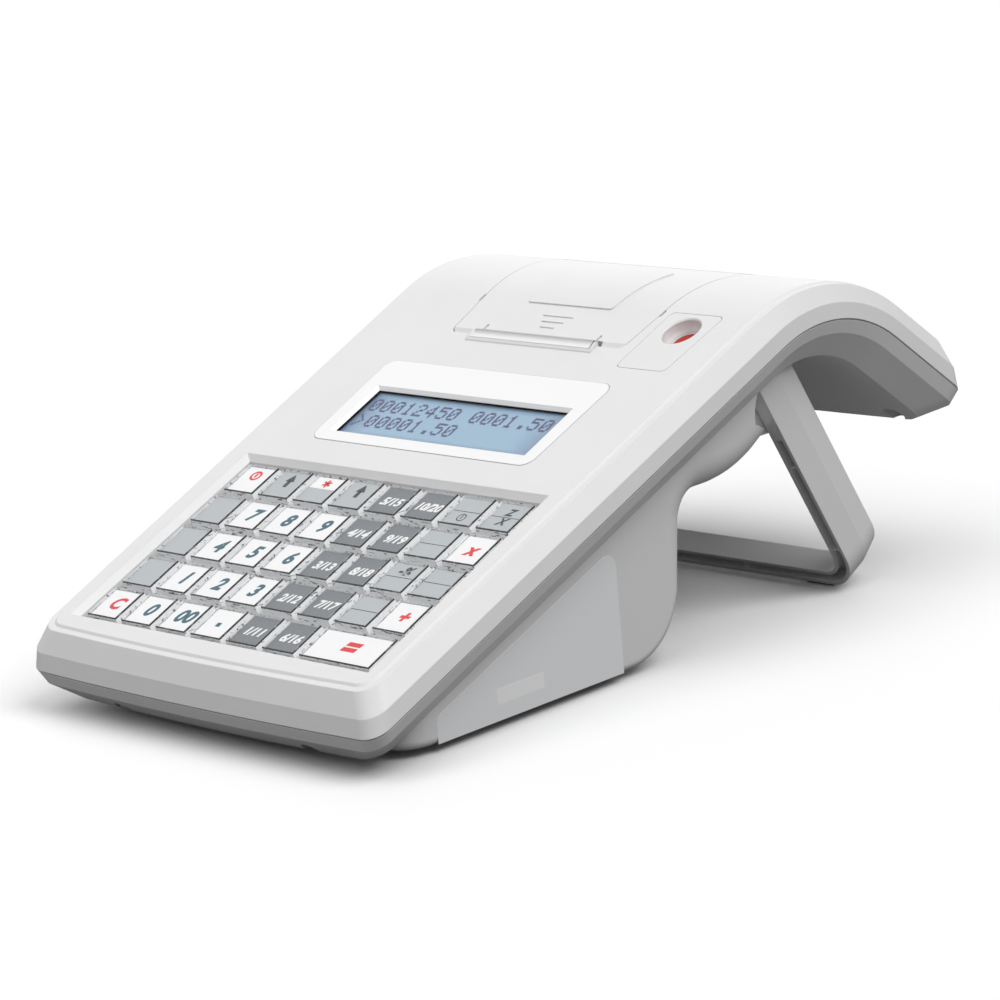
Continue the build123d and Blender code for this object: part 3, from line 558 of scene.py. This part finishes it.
# ---------------------------------------------------------------- workbench
class Bench:
    """Modelling moves that several sub-assemblies share."""

    FIGURE_SHARE = 0.72  # height of a figure for a type size of 1
    FIGURE_RELIEF = 0.015 * MM

    @staticmethod
    def clear() -> None:
        """Leave nothing selected."""
        if bpy.context.object is not None and bpy.context.object.mode != "OBJECT":
            bpy.ops.object.mode_set(mode="OBJECT")
        bpy.ops.object.select_all(action="DESELECT")

    @staticmethod
    def block(size: Triple, centre: Triple = (0, 0, 0)) -> bpy.types.Object:
        """Add a box at its size and place.

        Args:
            size: Lengths of its sides.
            centre: Its middle.

        Returns:
            The box, which is selected.
        """
        Bench.clear()
        bpy.ops.mesh.primitive_cube_add(size=1.0)
        box = bpy.context.object
        box.data.transform(Matrix.Translation(centre) @ Matrix.Diagonal((*size, 1.0)))
        return box

    @staticmethod
    def pick_faces(piece: bpy.types.Object, direction: Vector) -> None:
        """In edit mode, select the faces that look one way."""
        bpy.ops.object.mode_set(mode="EDIT")
        bpy.ops.mesh.select_mode(type="FACE")
        bpy.ops.mesh.select_all(action="DESELECT")
        mesh = bmesh.from_edit_mesh(piece.data)
        for face in mesh.faces:
            face.select_set(face.normal.dot(direction) > 0.9)
        bmesh.update_edit_mesh(piece.data)

    @staticmethod
    def soften(piece: bpy.types.Object, width: float, segments: int = 2, smooth: bool = True) -> None:
        """Round the sharp edges of a piece."""
        Bench.clear()
        piece.select_set(True)
        bpy.context.view_layer.objects.active = piece
        bevel = piece.modifiers.new("edges", "BEVEL")
        bevel.width = width
        bevel.segments = segments
        bevel.limit_method = "ANGLE"
        bpy.ops.object.modifier_apply(modifier=bevel.name)
        if smooth:
            bpy.ops.object.shade_smooth_by_angle(angle=math.radians(35))

    @staticmethod
    def text(words: str, height: float, lean: float = 0.25, weight: float = 0.0) -> bpy.types.Object:
        """Make raised figures, centred on the origin.

        Args:
            words: The figures.
            height: Height of a figure.
            lean: Slant of the figures.
            weight: How much every stroke is thickened.

        Returns:
            The figures as a mesh.
        """
        Bench.clear()
        bpy.ops.object.text_add()
        made = bpy.context.object
        made.data.body = words
        made.data.size = height / Bench.FIGURE_SHARE
        made.data.shear = lean
        made.data.offset = weight
        made.data.extrude = Bench.FIGURE_RELIEF
        made.data.resolution_u = 3
        made.data.align_x = "CENTER"
        made.data.align_y = "CENTER"
        bpy.ops.object.convert(target="MESH")
        return bpy.context.object

    @staticmethod
    def paint(piece: bpy.types.Object, finish: Finish) -> None:
        """Give a piece one finish."""
        piece.data.materials.clear()
        piece.data.materials.append(finish.material())

    @staticmethod
    def join(pieces: list[bpy.types.Object], name: str) -> bpy.types.Object:
        """Join pieces into one, which keeps all their finishes.

        Args:
            pieces: The pieces.
            name: Name of the result.

        Returns:
            The joined piece.
        """
        Bench.clear()
        for piece in pieces:
            piece.select_set(True)
        bpy.context.view_layer.objects.active = pieces[0]
        if len(pieces) > 1:
            bpy.ops.object.join()
        joined = bpy.context.object
        joined.name = name
        joined.data.name = name
        return joined

    @staticmethod
    def copy(piece: bpy.types.Object, name: str, place: Matrix) -> bpy.types.Object:
        """Copy a piece with a mesh of its own.

        Args:
            piece: The piece.
            name: Name of the copy.
            place: Where the copy goes.

        Returns:
            The copy, whose place is in its mesh.
        """
        mesh = piece.data.copy()
        mesh.transform(place)
        made = bpy.data.objects.new(name, mesh)
        bpy.context.scene.collection.objects.link(made)
        return made

    @staticmethod
    def fit(piece: bpy.types.Object, body: str, slot: str) -> None:
        """Let a piece move with a body."""
        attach(piece, body)
        log.info("%s: %d faces on %s", piece.name, len(piece.data.polygons), body)


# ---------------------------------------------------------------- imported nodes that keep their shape
@dataclass
class PackedPieces:
    """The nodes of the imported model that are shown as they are."""

    nodes: dict[str, bpy.types.Object]
    finishes: dict[str, Finish] = field(
        default_factory=lambda: {
            "upper_case": Finish.CASE,
            "lower_case": Finish.CASE,
            "printer_cover": Finish.CASE,
            "seal_panel": Finish.CASE,
            "stand": Finish.CASE,
            "display_bezel": Finish.BEZEL,
            "display_windows": Finish.WINDOW,
            "display_modules": Finish.MODULE,
            "key_frame": Finish.LATTICE,
            "key_mat": Finish.MAT,
            "circuit_boards": Finish.BOARD,
            "battery_pack": Finish.SLEEVE,
            "print_mechanism": Finish.MECHANISM,
            "platen_roller": Finish.RUBBER,
            "paper_roll": Finish.PAPER,
            "tear_bar": Finish.STEEL,
            "seal_cup": Finish.CHROME,
            "seal_plug": Finish.WAX,
            "stand_pads": Finish.RUBBER,
            "case_feet": Finish.RUBBER,
            "case_screws": Finish.SCREW,
        }
    )

    def dress(self) -> None:
        """Give each node its finish."""
        for name, finish in self.finishes.items():
            Bench.paint(self.nodes[name], finish)
            log.info("%s: %s", name, finish.name.lower())


# ---------------------------------------------------------------- keyboard
class Card(Enum):
    """Colour of a key's legend card."""

    WHITE = Finish.CARD_WHITE
    GREY = Finish.CARD_GREY
    DARK = Finish.CARD_DARK


class Mark(Enum):
    """Plain sign on a card."""

    POWER = "power"
    CLOCK = "clock"
    ARROW = "arrow"
    LINE = "line"
    STAR = "star"
    DOT = "dot"
    UPPER_WHITE = "upper_white"


@dataclass(frozen=True)
class Legend:
    """What one key shows."""

    card: Card
    words: str = ""
    ink: Finish = Finish.INK_BLACK
    height: float = 4.2 * MM
    rise: float = 0.0
    marks: tuple[Mark, ...] = ()


def figure(words: str) -> Legend:
    """White key with a teal figure."""
    return Legend(Card.WHITE, words, Finish.INK_TEAL, 6.4 * MM)


def pair(words: str) -> Legend:
    """Dark key with two department numbers in white."""
    return Legend(Card.DARK, words, Finish.INK_WHITE, 4.0 * MM, -0.8 * MM)


def red(words: str, height: float = 6.0 * MM) -> Legend:
    """White key with a plain red sign."""
    return Legend(Card.WHITE, words, Finish.INK_RED, height)


GREY = Legend(Card.GREY)
HALVED = Legend(Card.GREY, marks=(Mark.LINE,))
POINT = Legend(Card.WHITE, ink=Finish.INK_TEAL, marks=(Mark.DOT,))


@dataclass
class Keyboard:
    """Thirty-nine keys in five rows, each a clear cap over a card on a plunger."""

    pitch_x: float = 19.05 * MM
    pitch_t: float = 18.5 * MM
    columns: int = 8
    middle: float = 58.65 * MM
    cap_top: float = -1.7 * MM
    cap_foot: float = -8.0 * MM
    card_top: float = -2.5 * MM
    card_thick: float = 0.4 * MM
    plunger_foot: float = -8.8 * MM
    foot_play: float = 1.75 * MM
    top_play: tuple[float, float] = (3.45 * MM, 3.3 * MM)
    wall_play: tuple[float, float] = (4.85 * MM, 4.6 * MM)
    ink_thick: float = 0.03 * MM
    boldness: float = 0.055
    card_lift: float = 0.02 * MM
    card_edge: float = 0.08 * MM
    lid_edge: float = 0.12 * MM
    plunger_play: float = 0.3 * MM
    plunger_hollow: tuple[float, float] = (2.4 * MM, 1.5 * MM)  # its wall and its depth
    power: Triple = (2.2 * MM, 1.0 * MM, 2.4 * MM)  # radius, stroke and rise of the ring
    clock: Triple = (1.8 * MM, 0.45 * MM, -3.2 * MM)
    shaft: Triple = (1.9 * MM, 4.0 * MM, 0.7 * MM)  # width, length and rise
    barb: tuple[float, float] = (2.7 * MM, 3.3 * MM)  # radius and rise of the arrow's head
    ray: Triple = (1.0 * MM, 4.2 * MM, 3.6 * MM)  # width, length and rise of a bar of the star
    dot: tuple[float, float] = (2.1 * MM, -0.6 * MM)  # side and rise
    line: tuple[float, float] = (13.6 * MM, 0.28 * MM)
    half_card: tuple[float, float] = (0.44, 0.27)  # height and rise, as shares of the card
    legends: list[list[Legend]] = field(
        default_factory=lambda: [
            [
                Legend(Card.WHITE, ink=Finish.INK_RED, marks=(Mark.POWER,)),
                Legend(Card.GREY, marks=(Mark.ARROW,)),
                Legend(Card.GREY, ink=Finish.INK_RED, marks=(Mark.UPPER_WHITE, Mark.STAR)),
                Legend(Card.GREY, marks=(Mark.ARROW,)),
                pair("5/15"),
                pair("10/20"),
                Legend(Card.GREY, marks=(Mark.LINE, Mark.CLOCK)),
                Legend(Card.GREY, "Z\nX", height=3.6 * MM, marks=(Mark.LINE,)),
            ],
            [GREY, figure("7"), figure("8"), figure("9"), pair("4/14"), pair("9/19"), HALVED, red("x")],
            [
                GREY,
                figure("4"),
                figure("5"),
                figure("6"),
                pair("3/13"),
                pair("8/18"),
                Legend(Card.GREY, "-%", rise=3.2 * MM, marks=(Mark.LINE,)),
                HALVED,
            ],
            [GREY, figure("1"), figure("2"), figure("3"), pair("2/12"), pair("7/17"), HALVED, red("+")],
            [red("C"), figure("0"), figure("00"), POINT, pair("1/11"), pair("6/16"), red("=", 9.0 * MM)],
        ]
    )

    def places(self) -> Iterator[tuple[int, int, int]]:
        """Row, column and width in pitches of every key."""
        for row, line in enumerate(self.legends):
            for column in range(len(line)):
                last_of_short = len(line) < self.columns and column == len(line) - 1
                yield row, column, 2 if last_of_short else 1

    def centre(self, row: int, column: int, width: int) -> Matrix:
        """Place of a key on the face."""
        x = (column + width / 2 - self.columns / 2) * self.pitch_x
        t = self.middle + ((len(self.legends) - 1) / 2 - row) * self.pitch_t
        return FACE.matrix(x, t)

    def cap(self, width: int) -> bpy.types.Object:
        """Clear cap: a tapered sleeve with a clear lid over the card.

        Args:
            width: Pitches that the key covers.

        Returns:
            The cap, made at the origin.
        """
        wide, long = width * self.pitch_x, self.pitch_t
        foot = Vector((wide - self.foot_play, long - self.foot_play))
        top = Vector((wide - self.top_play[0], long - self.top_play[1]))
        room = wide - self.wall_play[0]
        level = (self.card_top - self.cap_foot) / (self.cap_top - self.cap_foot)
        shoulder = foot.lerp(top, level)
        height = self.card_top - self.cap_foot
        sleeve = Bench.block((foot.x, foot.y, height), (0, 0, self.cap_foot + height / 2))
        self.taper(sleeve, foot, shoulder)
        Bench.pick_faces(sleeve, Vector((0, 0, -1)))
        bpy.ops.mesh.inset(thickness=(foot.x - room) / 2)
        bpy.ops.mesh.extrude_region_move(TRANSFORM_OT_translate={"value": (0, 0, height - self.card_thick)})
        bpy.ops.object.mode_set(mode="OBJECT")
        # the sleeve's right side, front and other faces take different finishes: painted light, painted
        # shade and painted refraction streaks
        self.glaze(sleeve, Finish.CAP_SIDE, Finish.CAP_FRONT, Finish.CAP_RIM)
        height = self.cap_top - self.card_top
        lid = Bench.block((shoulder.x, shoulder.y, height), (0, 0, self.card_top + height / 2))
        self.taper(lid, shoulder, top)
        Bench.soften(lid, self.lid_edge, 1, smooth=False)
        # the lid's right and front edges take a near-black finish: a painted dark refraction line
        self.glaze(lid, Finish.CAP_EDGE, Finish.CAP_EDGE, Finish.CAP)
        return Bench.join([sleeve, lid], "cap")

    @staticmethod
    def taper(piece: bpy.types.Object, foot: Vector, top: Vector) -> None:
        """Narrow a block from its foot to its top."""
        Bench.pick_faces(piece, Vector((0, 0, 1)))
        bpy.ops.transform.resize(value=(top.x / foot.x, top.y / foot.y, 1))
        bpy.ops.object.mode_set(mode="OBJECT")

    @staticmethod
    def glaze(piece: bpy.types.Object, side: Finish, front: Finish, level: Finish) -> None:
        """Give the faces of a cap's part their finishes by the way they face, which paints light, shade and
        refraction on by direction.

        Args:
            piece: The part.
            side: Finish of the right side.
            front: Finish of the front.
            level: Finish of what lies flat.
        """
        piece.data.materials.clear()
        for finish in (side, front, level, Finish.CAP_RIM):
            piece.data.materials.append(finish.material())
        for face in piece.data.polygons:
            if face.normal.z > 0.9 or face.normal.z < -0.5:
                face.material_index = 2
            elif face.normal.x > 0.5:
                face.material_index = 0
            elif face.normal.y < -0.5:
                face.material_index = 1
            else:
                face.material_index = 3

    def room(self, width: int) -> tuple[float, float]:
        """Width and length inside a cap's walls."""
        return width * self.pitch_x - self.wall_play[0], self.pitch_t - self.wall_play[1]

    def body(self, width: int) -> bpy.types.Object:
        """Plunger that carries the card."""
        wide, long = (side - self.plunger_play for side in self.room(width))
        height = self.card_top - self.card_thick - self.plunger_foot
        middle = self.plunger_foot + height / 2
        wall, depth = self.plunger_hollow
        plunger = Bench.block((wide, long, height), (0, 0, middle))
        Bench.pick_faces(plunger, Vector((0, 0, -1)))
        bpy.ops.mesh.inset(thickness=wall)
        bpy.ops.mesh.extrude_region_move(TRANSFORM_OT_translate={"value": (0, 0, depth)})
        bpy.ops.object.mode_set(mode="OBJECT")
        Bench.paint(plunger, Finish.KEY_BODY)
        return plunger

    def card(self, width: int, finish: Finish) -> bpy.types.Object:
        """Legend card with rounded corners."""
        centre = (0, 0, self.card_top + self.card_lift - self.card_thick / 2)
        card = Bench.block((*self.room(width), self.card_thick), centre)
        Bench.soften(card, self.card_edge, 1)
        Bench.paint(card, finish)
        return card

    def ring(self, radius: float, stroke: float, rise: float) -> bpy.types.Object:
        """Flat ring with an upright stroke in it."""
        Bench.clear()
        bpy.ops.mesh.primitive_torus_add(
            major_radius=radius, minor_radius=stroke / 2, major_segments=32, minor_segments=6
        )
        ring = bpy.context.object
        ring.data.transform(Matrix.Diagonal((1, 1, 2 * self.ink_thick / stroke, 1)))
        hand = Bench.block((stroke, radius * 1.1, self.ink_thick), (0, radius * 0.1, 0))
        sign = Bench.join([ring, hand], "ring")
        sign.data.transform(Matrix.Translation((0, rise, 0)))
        return sign

    def arrow(self) -> bpy.types.Object:
        """Arrow that points away from the operator."""
        shaft = Bench.block((*self.shaft[:2], self.ink_thick), (0, self.shaft[2], 0))
        Bench.clear()
        bpy.ops.mesh.primitive_cylinder_add(vertices=3, radius=self.barb[0], depth=self.ink_thick)
        head = bpy.context.object
        head.data.transform(Matrix.Translation((0, self.barb[1], 0)))
        return Bench.join([shaft, head], "arrow")

    def star(self) -> bpy.types.Object:
        """Star of three crossing bars on the white half of a card."""
        bars = []
        for turn in (0, 60, 120):
            bar = Bench.block((*self.ray[:2], self.ink_thick))
            spot = Matrix.Translation((0, self.ray[2], 0))
            bar.data.transform(spot @ Matrix.Rotation(math.radians(turn), 4, "Z"))
            bars.append(bar)
        return Bench.join(bars, "star")

    def mark(self, kind: Mark, ink: Finish) -> bpy.types.Object:
        """Plain sign on a card.

        Args:
            kind: Which sign.
            ink: Ink of the sign.

        Returns:
            The sign, flat on the origin.
        """
        if kind is Mark.UPPER_WHITE:
            wide, long = self.room(1)
            size = (wide - self.plunger_play, self.half_card[0] * long, self.ink_thick / 2)
            sign = Bench.block(size, (0, self.half_card[1] * long, -self.ink_thick / 2))
            Bench.paint(sign, Finish.CARD_WHITE)
            return sign
        if kind is Mark.POWER:
            sign = self.ring(*self.power)
        elif kind is Mark.CLOCK:
            sign = self.ring(*self.clock)
        elif kind is Mark.ARROW:
            sign = self.arrow()
        elif kind is Mark.STAR:
            sign = self.star()
        elif kind is Mark.DOT:
            sign = Bench.block((self.dot[0], self.dot[0], self.ink_thick), (0, self.dot[1], 0))
        else:
            sign = Bench.block((*self.line, self.ink_thick))
        Bench.paint(sign, ink)
        return sign

    def face_of(self, legend: Legend, width: int) -> list[bpy.types.Object]:
        """Card of one key with what is printed on it."""
        above = Matrix.Translation((0, 0, self.card_top + self.card_lift + self.ink_thick))
        pieces = [self.card(width, legend.card.value)]
        for kind in legend.marks:
            sign = self.mark(kind, legend.ink)
            sign.data.transform(above)
            pieces.append(sign)
        if legend.words:
            words = Bench.text(legend.words, legend.height, weight=legend.height * self.boldness)
            words.data.transform(Matrix.Translation((0, legend.rise, 0)) @ above)
            Bench.paint(words, legend.ink)
            pieces.append(words)
        return pieces

    def build(self) -> None:
        """Make every key at its place."""
        caps = {width: self.cap(width) for width in (1, 2)}
        bodies = {width: self.body(width) for width in (1, 2)}
        for row, column, width in self.places():
            node = f"key_row{row + 1}_col{column + 1}"
            place = self.centre(row, column, width)
            legend = self.legends[row][column]
            plunger = Bench.copy(bodies[width], "plunger", Matrix.Identity(4))
            inner = Bench.join([plunger, *self.face_of(legend, width)], f"{node}_card")
            inner.data.transform(place)
            cap = Bench.copy(caps[width], f"{node}_cap", place)
            slot = {Card.WHITE: "white_key", Card.GREY: "grey_key", Card.DARK: "dark_key"}[legend.card]
            Bench.fit(inner, node, slot)
            Bench.fit(cap, node, slot)
            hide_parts(node)
        for spare in (*caps.values(), *bodies.values()):
            bpy.data.objects.remove(spare)


# ---------------------------------------------------------------- operator's display
DOTS = {
    "0": "01110 10001 10011 10101 11001 10001 01110",
    "1": "00100 01100 00100 00100 00100 00100 01110",
    "2": "01110 10001 00001 00110 01000 10000 11111",
    "3": "01110 10001 00001 00110 00001 10001 01110",
    "4": "00010 00110 01010 10010 11111 00010 00010",
    "5": "11111 10000 11110 00001 00001 10001 01110",
    "6": "00110 01000 10000 11110 10001 10001 01110",
    "7": "11111 00001 00010 00100 01000 01000 01000",
    "8": "01110 10001 10001 01110 10001 10001 01110",
    "9": "01110 10001 10001 01111 00001 00010 01100",
    ".": "00000 00000 00000 00000 00000 00110 00110",
    ">": "10000 01000 00100 00010 00100 01000 10000",
    " ": "00000 00000 00000 00000 00000 00000 00000",
}


@dataclass
class Readout:
    """Lit face of the display, and its figures of square dots."""

    half: tuple[float, float] = (49.5 * MM, 12.45 * MM)
    middle: float = 139.35 * MM
    glass_top: float = -2.28 * MM
    lines: tuple[str, str] = ("00012450 0001.50", ">00001.50")
    first: tuple[float, float] = (-47.6 * MM, 148.4 * MM)
    cell: tuple[float, float] = (5.93 * MM, 9.05 * MM)
    dot: tuple[float, float] = (0.92 * MM, 1.0 * MM)
    fill: float = 1.1
    layer: float = 0.02 * MM  # thickness of the lit face, and of a dot on it
    rim: float = 0.8 * MM
    blue: Colour = (0.24, 0.4, 0.55)
    # painted shade at the edges of the lit face
    painted_edge_shade: Colour = (0.12, 0.20, 0.33)
    reach: tuple[float, float] = (49.6 * MM, 12.6 * MM)

    def face(self) -> bpy.types.Object:
        """Thin lit face on the module's glass."""
        size = (2 * self.half[0], 2 * self.half[1], self.layer)
        face = Bench.block(size, (0, 0, self.layer / 2))
        Bench.pick_faces(face, Vector((0, 0, 1)))
        bpy.ops.mesh.inset(thickness=self.rim)
        bpy.ops.object.mode_set(mode="OBJECT")
        place = FACE.matrix(0, self.middle, self.glass_top)
        centre = tuple(place.translation)
        glow = BacklitCrystal("display_blue", self.blue, self.painted_edge_shade, centre, self.reach)
        face.data.materials.append(glow.material())
        face.data.transform(place)
        face.name = "display_lit_face"
        return face

    def figures(self) -> bpy.types.Object:
        """Every dark dot of both lines."""
        size = (self.dot[0] * self.fill, self.dot[1] * self.fill, self.layer)
        dot = Bench.block(size, (0, 0, 1.5 * self.layer))
        Bench.paint(dot, Finish.LCD_INK)
        dots = []
        for line, words in enumerate(self.lines):
            for place, letter in enumerate(words):
                for row, bits in enumerate(DOTS[letter].split()):
                    for column, bit in enumerate(bits):
                        if bit == "1":
                            x = self.first[0] + place * self.cell[0] + (column + 0.5) * self.dot[0]
                            t = self.first[1] - line * self.cell[1] - (row + 0.5) * self.dot[1]
                            dots.append(Bench.copy(dot, "dot", FACE.matrix(x, t, self.glass_top)))
        bpy.data.objects.remove(dot)
        return Bench.join(dots, "display_figures")

    def build(self) -> None:
        """Fit the lit face and its figures."""
        for piece in (self.face(), self.figures()):
            Bench.fit(piece, "case", "display")


# ---------------------------------------------------------------- label on the side of the base
@dataclass
class SideLabel:
    """Bare silver label on the right side of the base, with a paler blank field."""

    wall: float = 81.0 * MM
    lean: float = math.atan(0.035)
    thick: float = 0.12 * MM
    front: float = -113.04 * MM
    back: float = -24.34 * MM
    low: float = 3.4 * MM
    shoulder: float = 12.8 * MM
    peak: float = 49.1 * MM
    trims: tuple[float, float] = (2.4 * MM, 7.5 * MM)
    blank: tuple[float, float, float, float] = (-85.04 * MM, -62.64 * MM, 9.0 * MM, 14.6 * MM)
    blank_lift: float = 0.04 * MM
    blank_edge: float = 0.02 * MM
    spare: float = 1.0 * MM  # left above the peak for the cut along the slope

    def place(self, out: float) -> Matrix:
        """Matrix that lays a flat piece on the side wall, its X towards the tail and its Y up."""
        wall = Matrix.Translation((self.wall + out, 0, 0)) @ Matrix.Rotation(self.lean, 4, "Y")
        return wall @ Matrix.Rotation(math.pi / 2, 4, "Z") @ Matrix.Rotation(math.pi / 2, 4, "X")

    def sheet(self, low: Vector, high: Vector, thick: float) -> bpy.types.Object:
        """Thin rectangle between two corners."""
        middle = (low + high) / 2
        return Bench.block((high.x - low.x, high.y - low.y, thick), (middle.x, middle.y, thick / 2))

    def plate(self) -> bpy.types.Object:
        """The label, cut along the slope and rounded at its shoulder and its peak."""
        top = Vector((self.back, self.peak + self.spare))
        plate = self.sheet(Vector((self.front, self.low)), top, self.thick)
        run = Vector((self.back - self.front, self.peak - self.shoulder)).normalized()
        bpy.ops.object.mode_set(mode="EDIT")
        bpy.ops.mesh.select_all(action="SELECT")
        bpy.ops.mesh.bisect(
            plane_co=(self.front, self.shoulder, 0),
            plane_no=(-run.y, run.x, 0),
            clear_outer=True,
            use_fill=True,
        )
        bpy.ops.mesh.select_mode(type="EDGE")
        corners = (Vector((self.front, self.shoulder)), Vector((self.back, self.peak)))
        for corner, trim in zip(corners, self.trims):
            bpy.ops.mesh.select_all(action="DESELECT")
            mesh = bmesh.from_edit_mesh(plate.data)
            for edge in mesh.edges:
                edge.select_set(all((vert.co.xy - corner).length < 0.1 * MM for vert in edge.verts))
            bmesh.update_edit_mesh(plate.data)
            bpy.ops.mesh.bevel(offset=trim, segments=8, affect="EDGES")
        bpy.ops.object.mode_set(mode="OBJECT")
        Bench.paint(plate, Finish.LABEL)
        return plate

    def field_plate(self) -> bpy.types.Object:
        """Paler blank field."""
        low = Vector((self.blank[0], self.blank[2]))
        high = Vector((self.blank[1], self.blank[3]))
        plate = self.sheet(low, high, self.thick + self.blank_lift)
        Bench.soften(plate, self.blank_edge, 1)
        Bench.paint(plate, Finish.LABEL_FIELD)
        return plate

    def build(self) -> None:
        """Fit the label."""
        label = Bench.join([self.plate(), self.field_plate()], "side_label")
        label.data.transform(self.place(0.0))
        Bench.fit(label, "case", "case_plastic")


# ---------------------------------------------------------------- studio
@dataclass
class Studio:
    """Camera, lamps, world and floor."""

    eye: Triple = (1.0188, -0.93633, 0.3878)
    right: Triple = (0.6919, 0.7144, -0.1047)
    up: Triple = (-0.1001, 0.2385, 0.9659)
    lens: float = 141.4
    sensor: float = 36.0
    sky: float = 0.27

    def camera(self) -> None:
        """Camera that looks along the register from its front right."""
        right, up = Vector(self.right).normalized(), Vector(self.up).normalized()
        back = right.cross(up).normalized()
        up = back.cross(right).normalized()
        turn = Matrix((right, up, back)).transposed().to_4x4()
        data = bpy.data.cameras.new("camera")
        data.lens = self.lens
        data.sensor_width = self.sensor
        data.clip_start = 0.01
        camera = bpy.data.objects.new("camera", data)
        camera.matrix_world = Matrix.Translation(self.eye) @ turn
        bpy.context.scene.collection.objects.link(camera)
        bpy.context.scene.camera = camera

    def lamp(self, name: str, towards: Vector, level: float, spread: float) -> None:
        """Distant soft lamp.

        Args:
            name: Name of the lamp.
            towards: Direction from the register to the lamp.
            level: What a white surface that faces the lamp renders at.
            spread: Width of the lamp as an angle.
        """
        data = bpy.data.lights.new(name, "SUN")
        data.energy = level * math.pi
        data.angle = spread
        lamp = bpy.data.objects.new(name, data)
        lamp.matrix_world = towards.to_track_quat("Z", "Y").to_matrix().to_4x4()
        bpy.context.scene.collection.objects.link(lamp)

    def world(self) -> None:
        """Even grey sky that shows as white."""
        world = bpy.data.worlds.new("studio")
        world.use_nodes = True
        bpy.context.scene.world = world
        tree = world.node_tree
        tree.nodes.clear()
        seen = tree.nodes.new("ShaderNodeLightPath")
        either = Wire(tree, seen.outputs["Is Camera Ray"])
        for kind in ("Is Glossy Ray", "Is Transmission Ray"):
            either = either.highest(Wire(tree, seen.outputs[kind]))
        background = tree.nodes.new("ShaderNodeBackground")
        background.inputs["Color"].default_value = (1, 1, 1, 1)
        strength = self.sky + (1 - self.sky) * either
        tree.links.new(strength.socket, background.inputs["Strength"])
        output = tree.nodes.new("ShaderNodeOutputWorld")
        tree.links.new(background.outputs[0], output.inputs["Surface"])

    def floor(self) -> None:
        """White floor that keeps the shadow."""
        Bench.clear()
        bpy.ops.mesh.primitive_plane_add(size=12.0)
        floor = bpy.context.object
        floor.name = "studio_floor"
        recipe = Recipe("floor_white")
        seen = recipe.node("ShaderNodeLightPath", output="Is Camera Ray")
        values = {
            "Base Color": recipe.mix(seen, (0.2, 0.2, 0.2), (0.98, 0.98, 0.98)),
            "Roughness": 1.0,
            "Specular IOR Level": 0.0,
        }
        floor.data.materials.append(recipe.solid(values))

    def build(self) -> None:
        """Set the studio up."""
        self.camera()
        self.world()
        self.lamp("top_lamp", Vector((-0.07, -0.12, 1.0)), 0.14, math.radians(60))
        self.lamp("front_lamp", Vector((0.0, -0.57, 0.82)), 0.26, math.radians(50))
        self.lamp("side_lamp", Vector((0.64, 0.06, 0.77)), 0.49, math.radians(40))
        self.lamp("back_lamp", Vector((-0.66, 0.66, 0.34)), 0.13, math.radians(60))
        self.floor()
        bpy.context.scene.view_settings.view_transform = "Standard"
        log.info("studio ready")


def main() -> None:
    """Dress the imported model, add the pieces that it lacks, and set the studio up."""
    logging.basicConfig(level=logging.INFO, format="%(name)s: %(message)s")
    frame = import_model()
    Studio().build()
    PackedPieces(frame["nodes"]).dress()
    Keyboard().build()
    Readout().build()
    SideLabel().build()


if __name__ == "__main__":
    main()
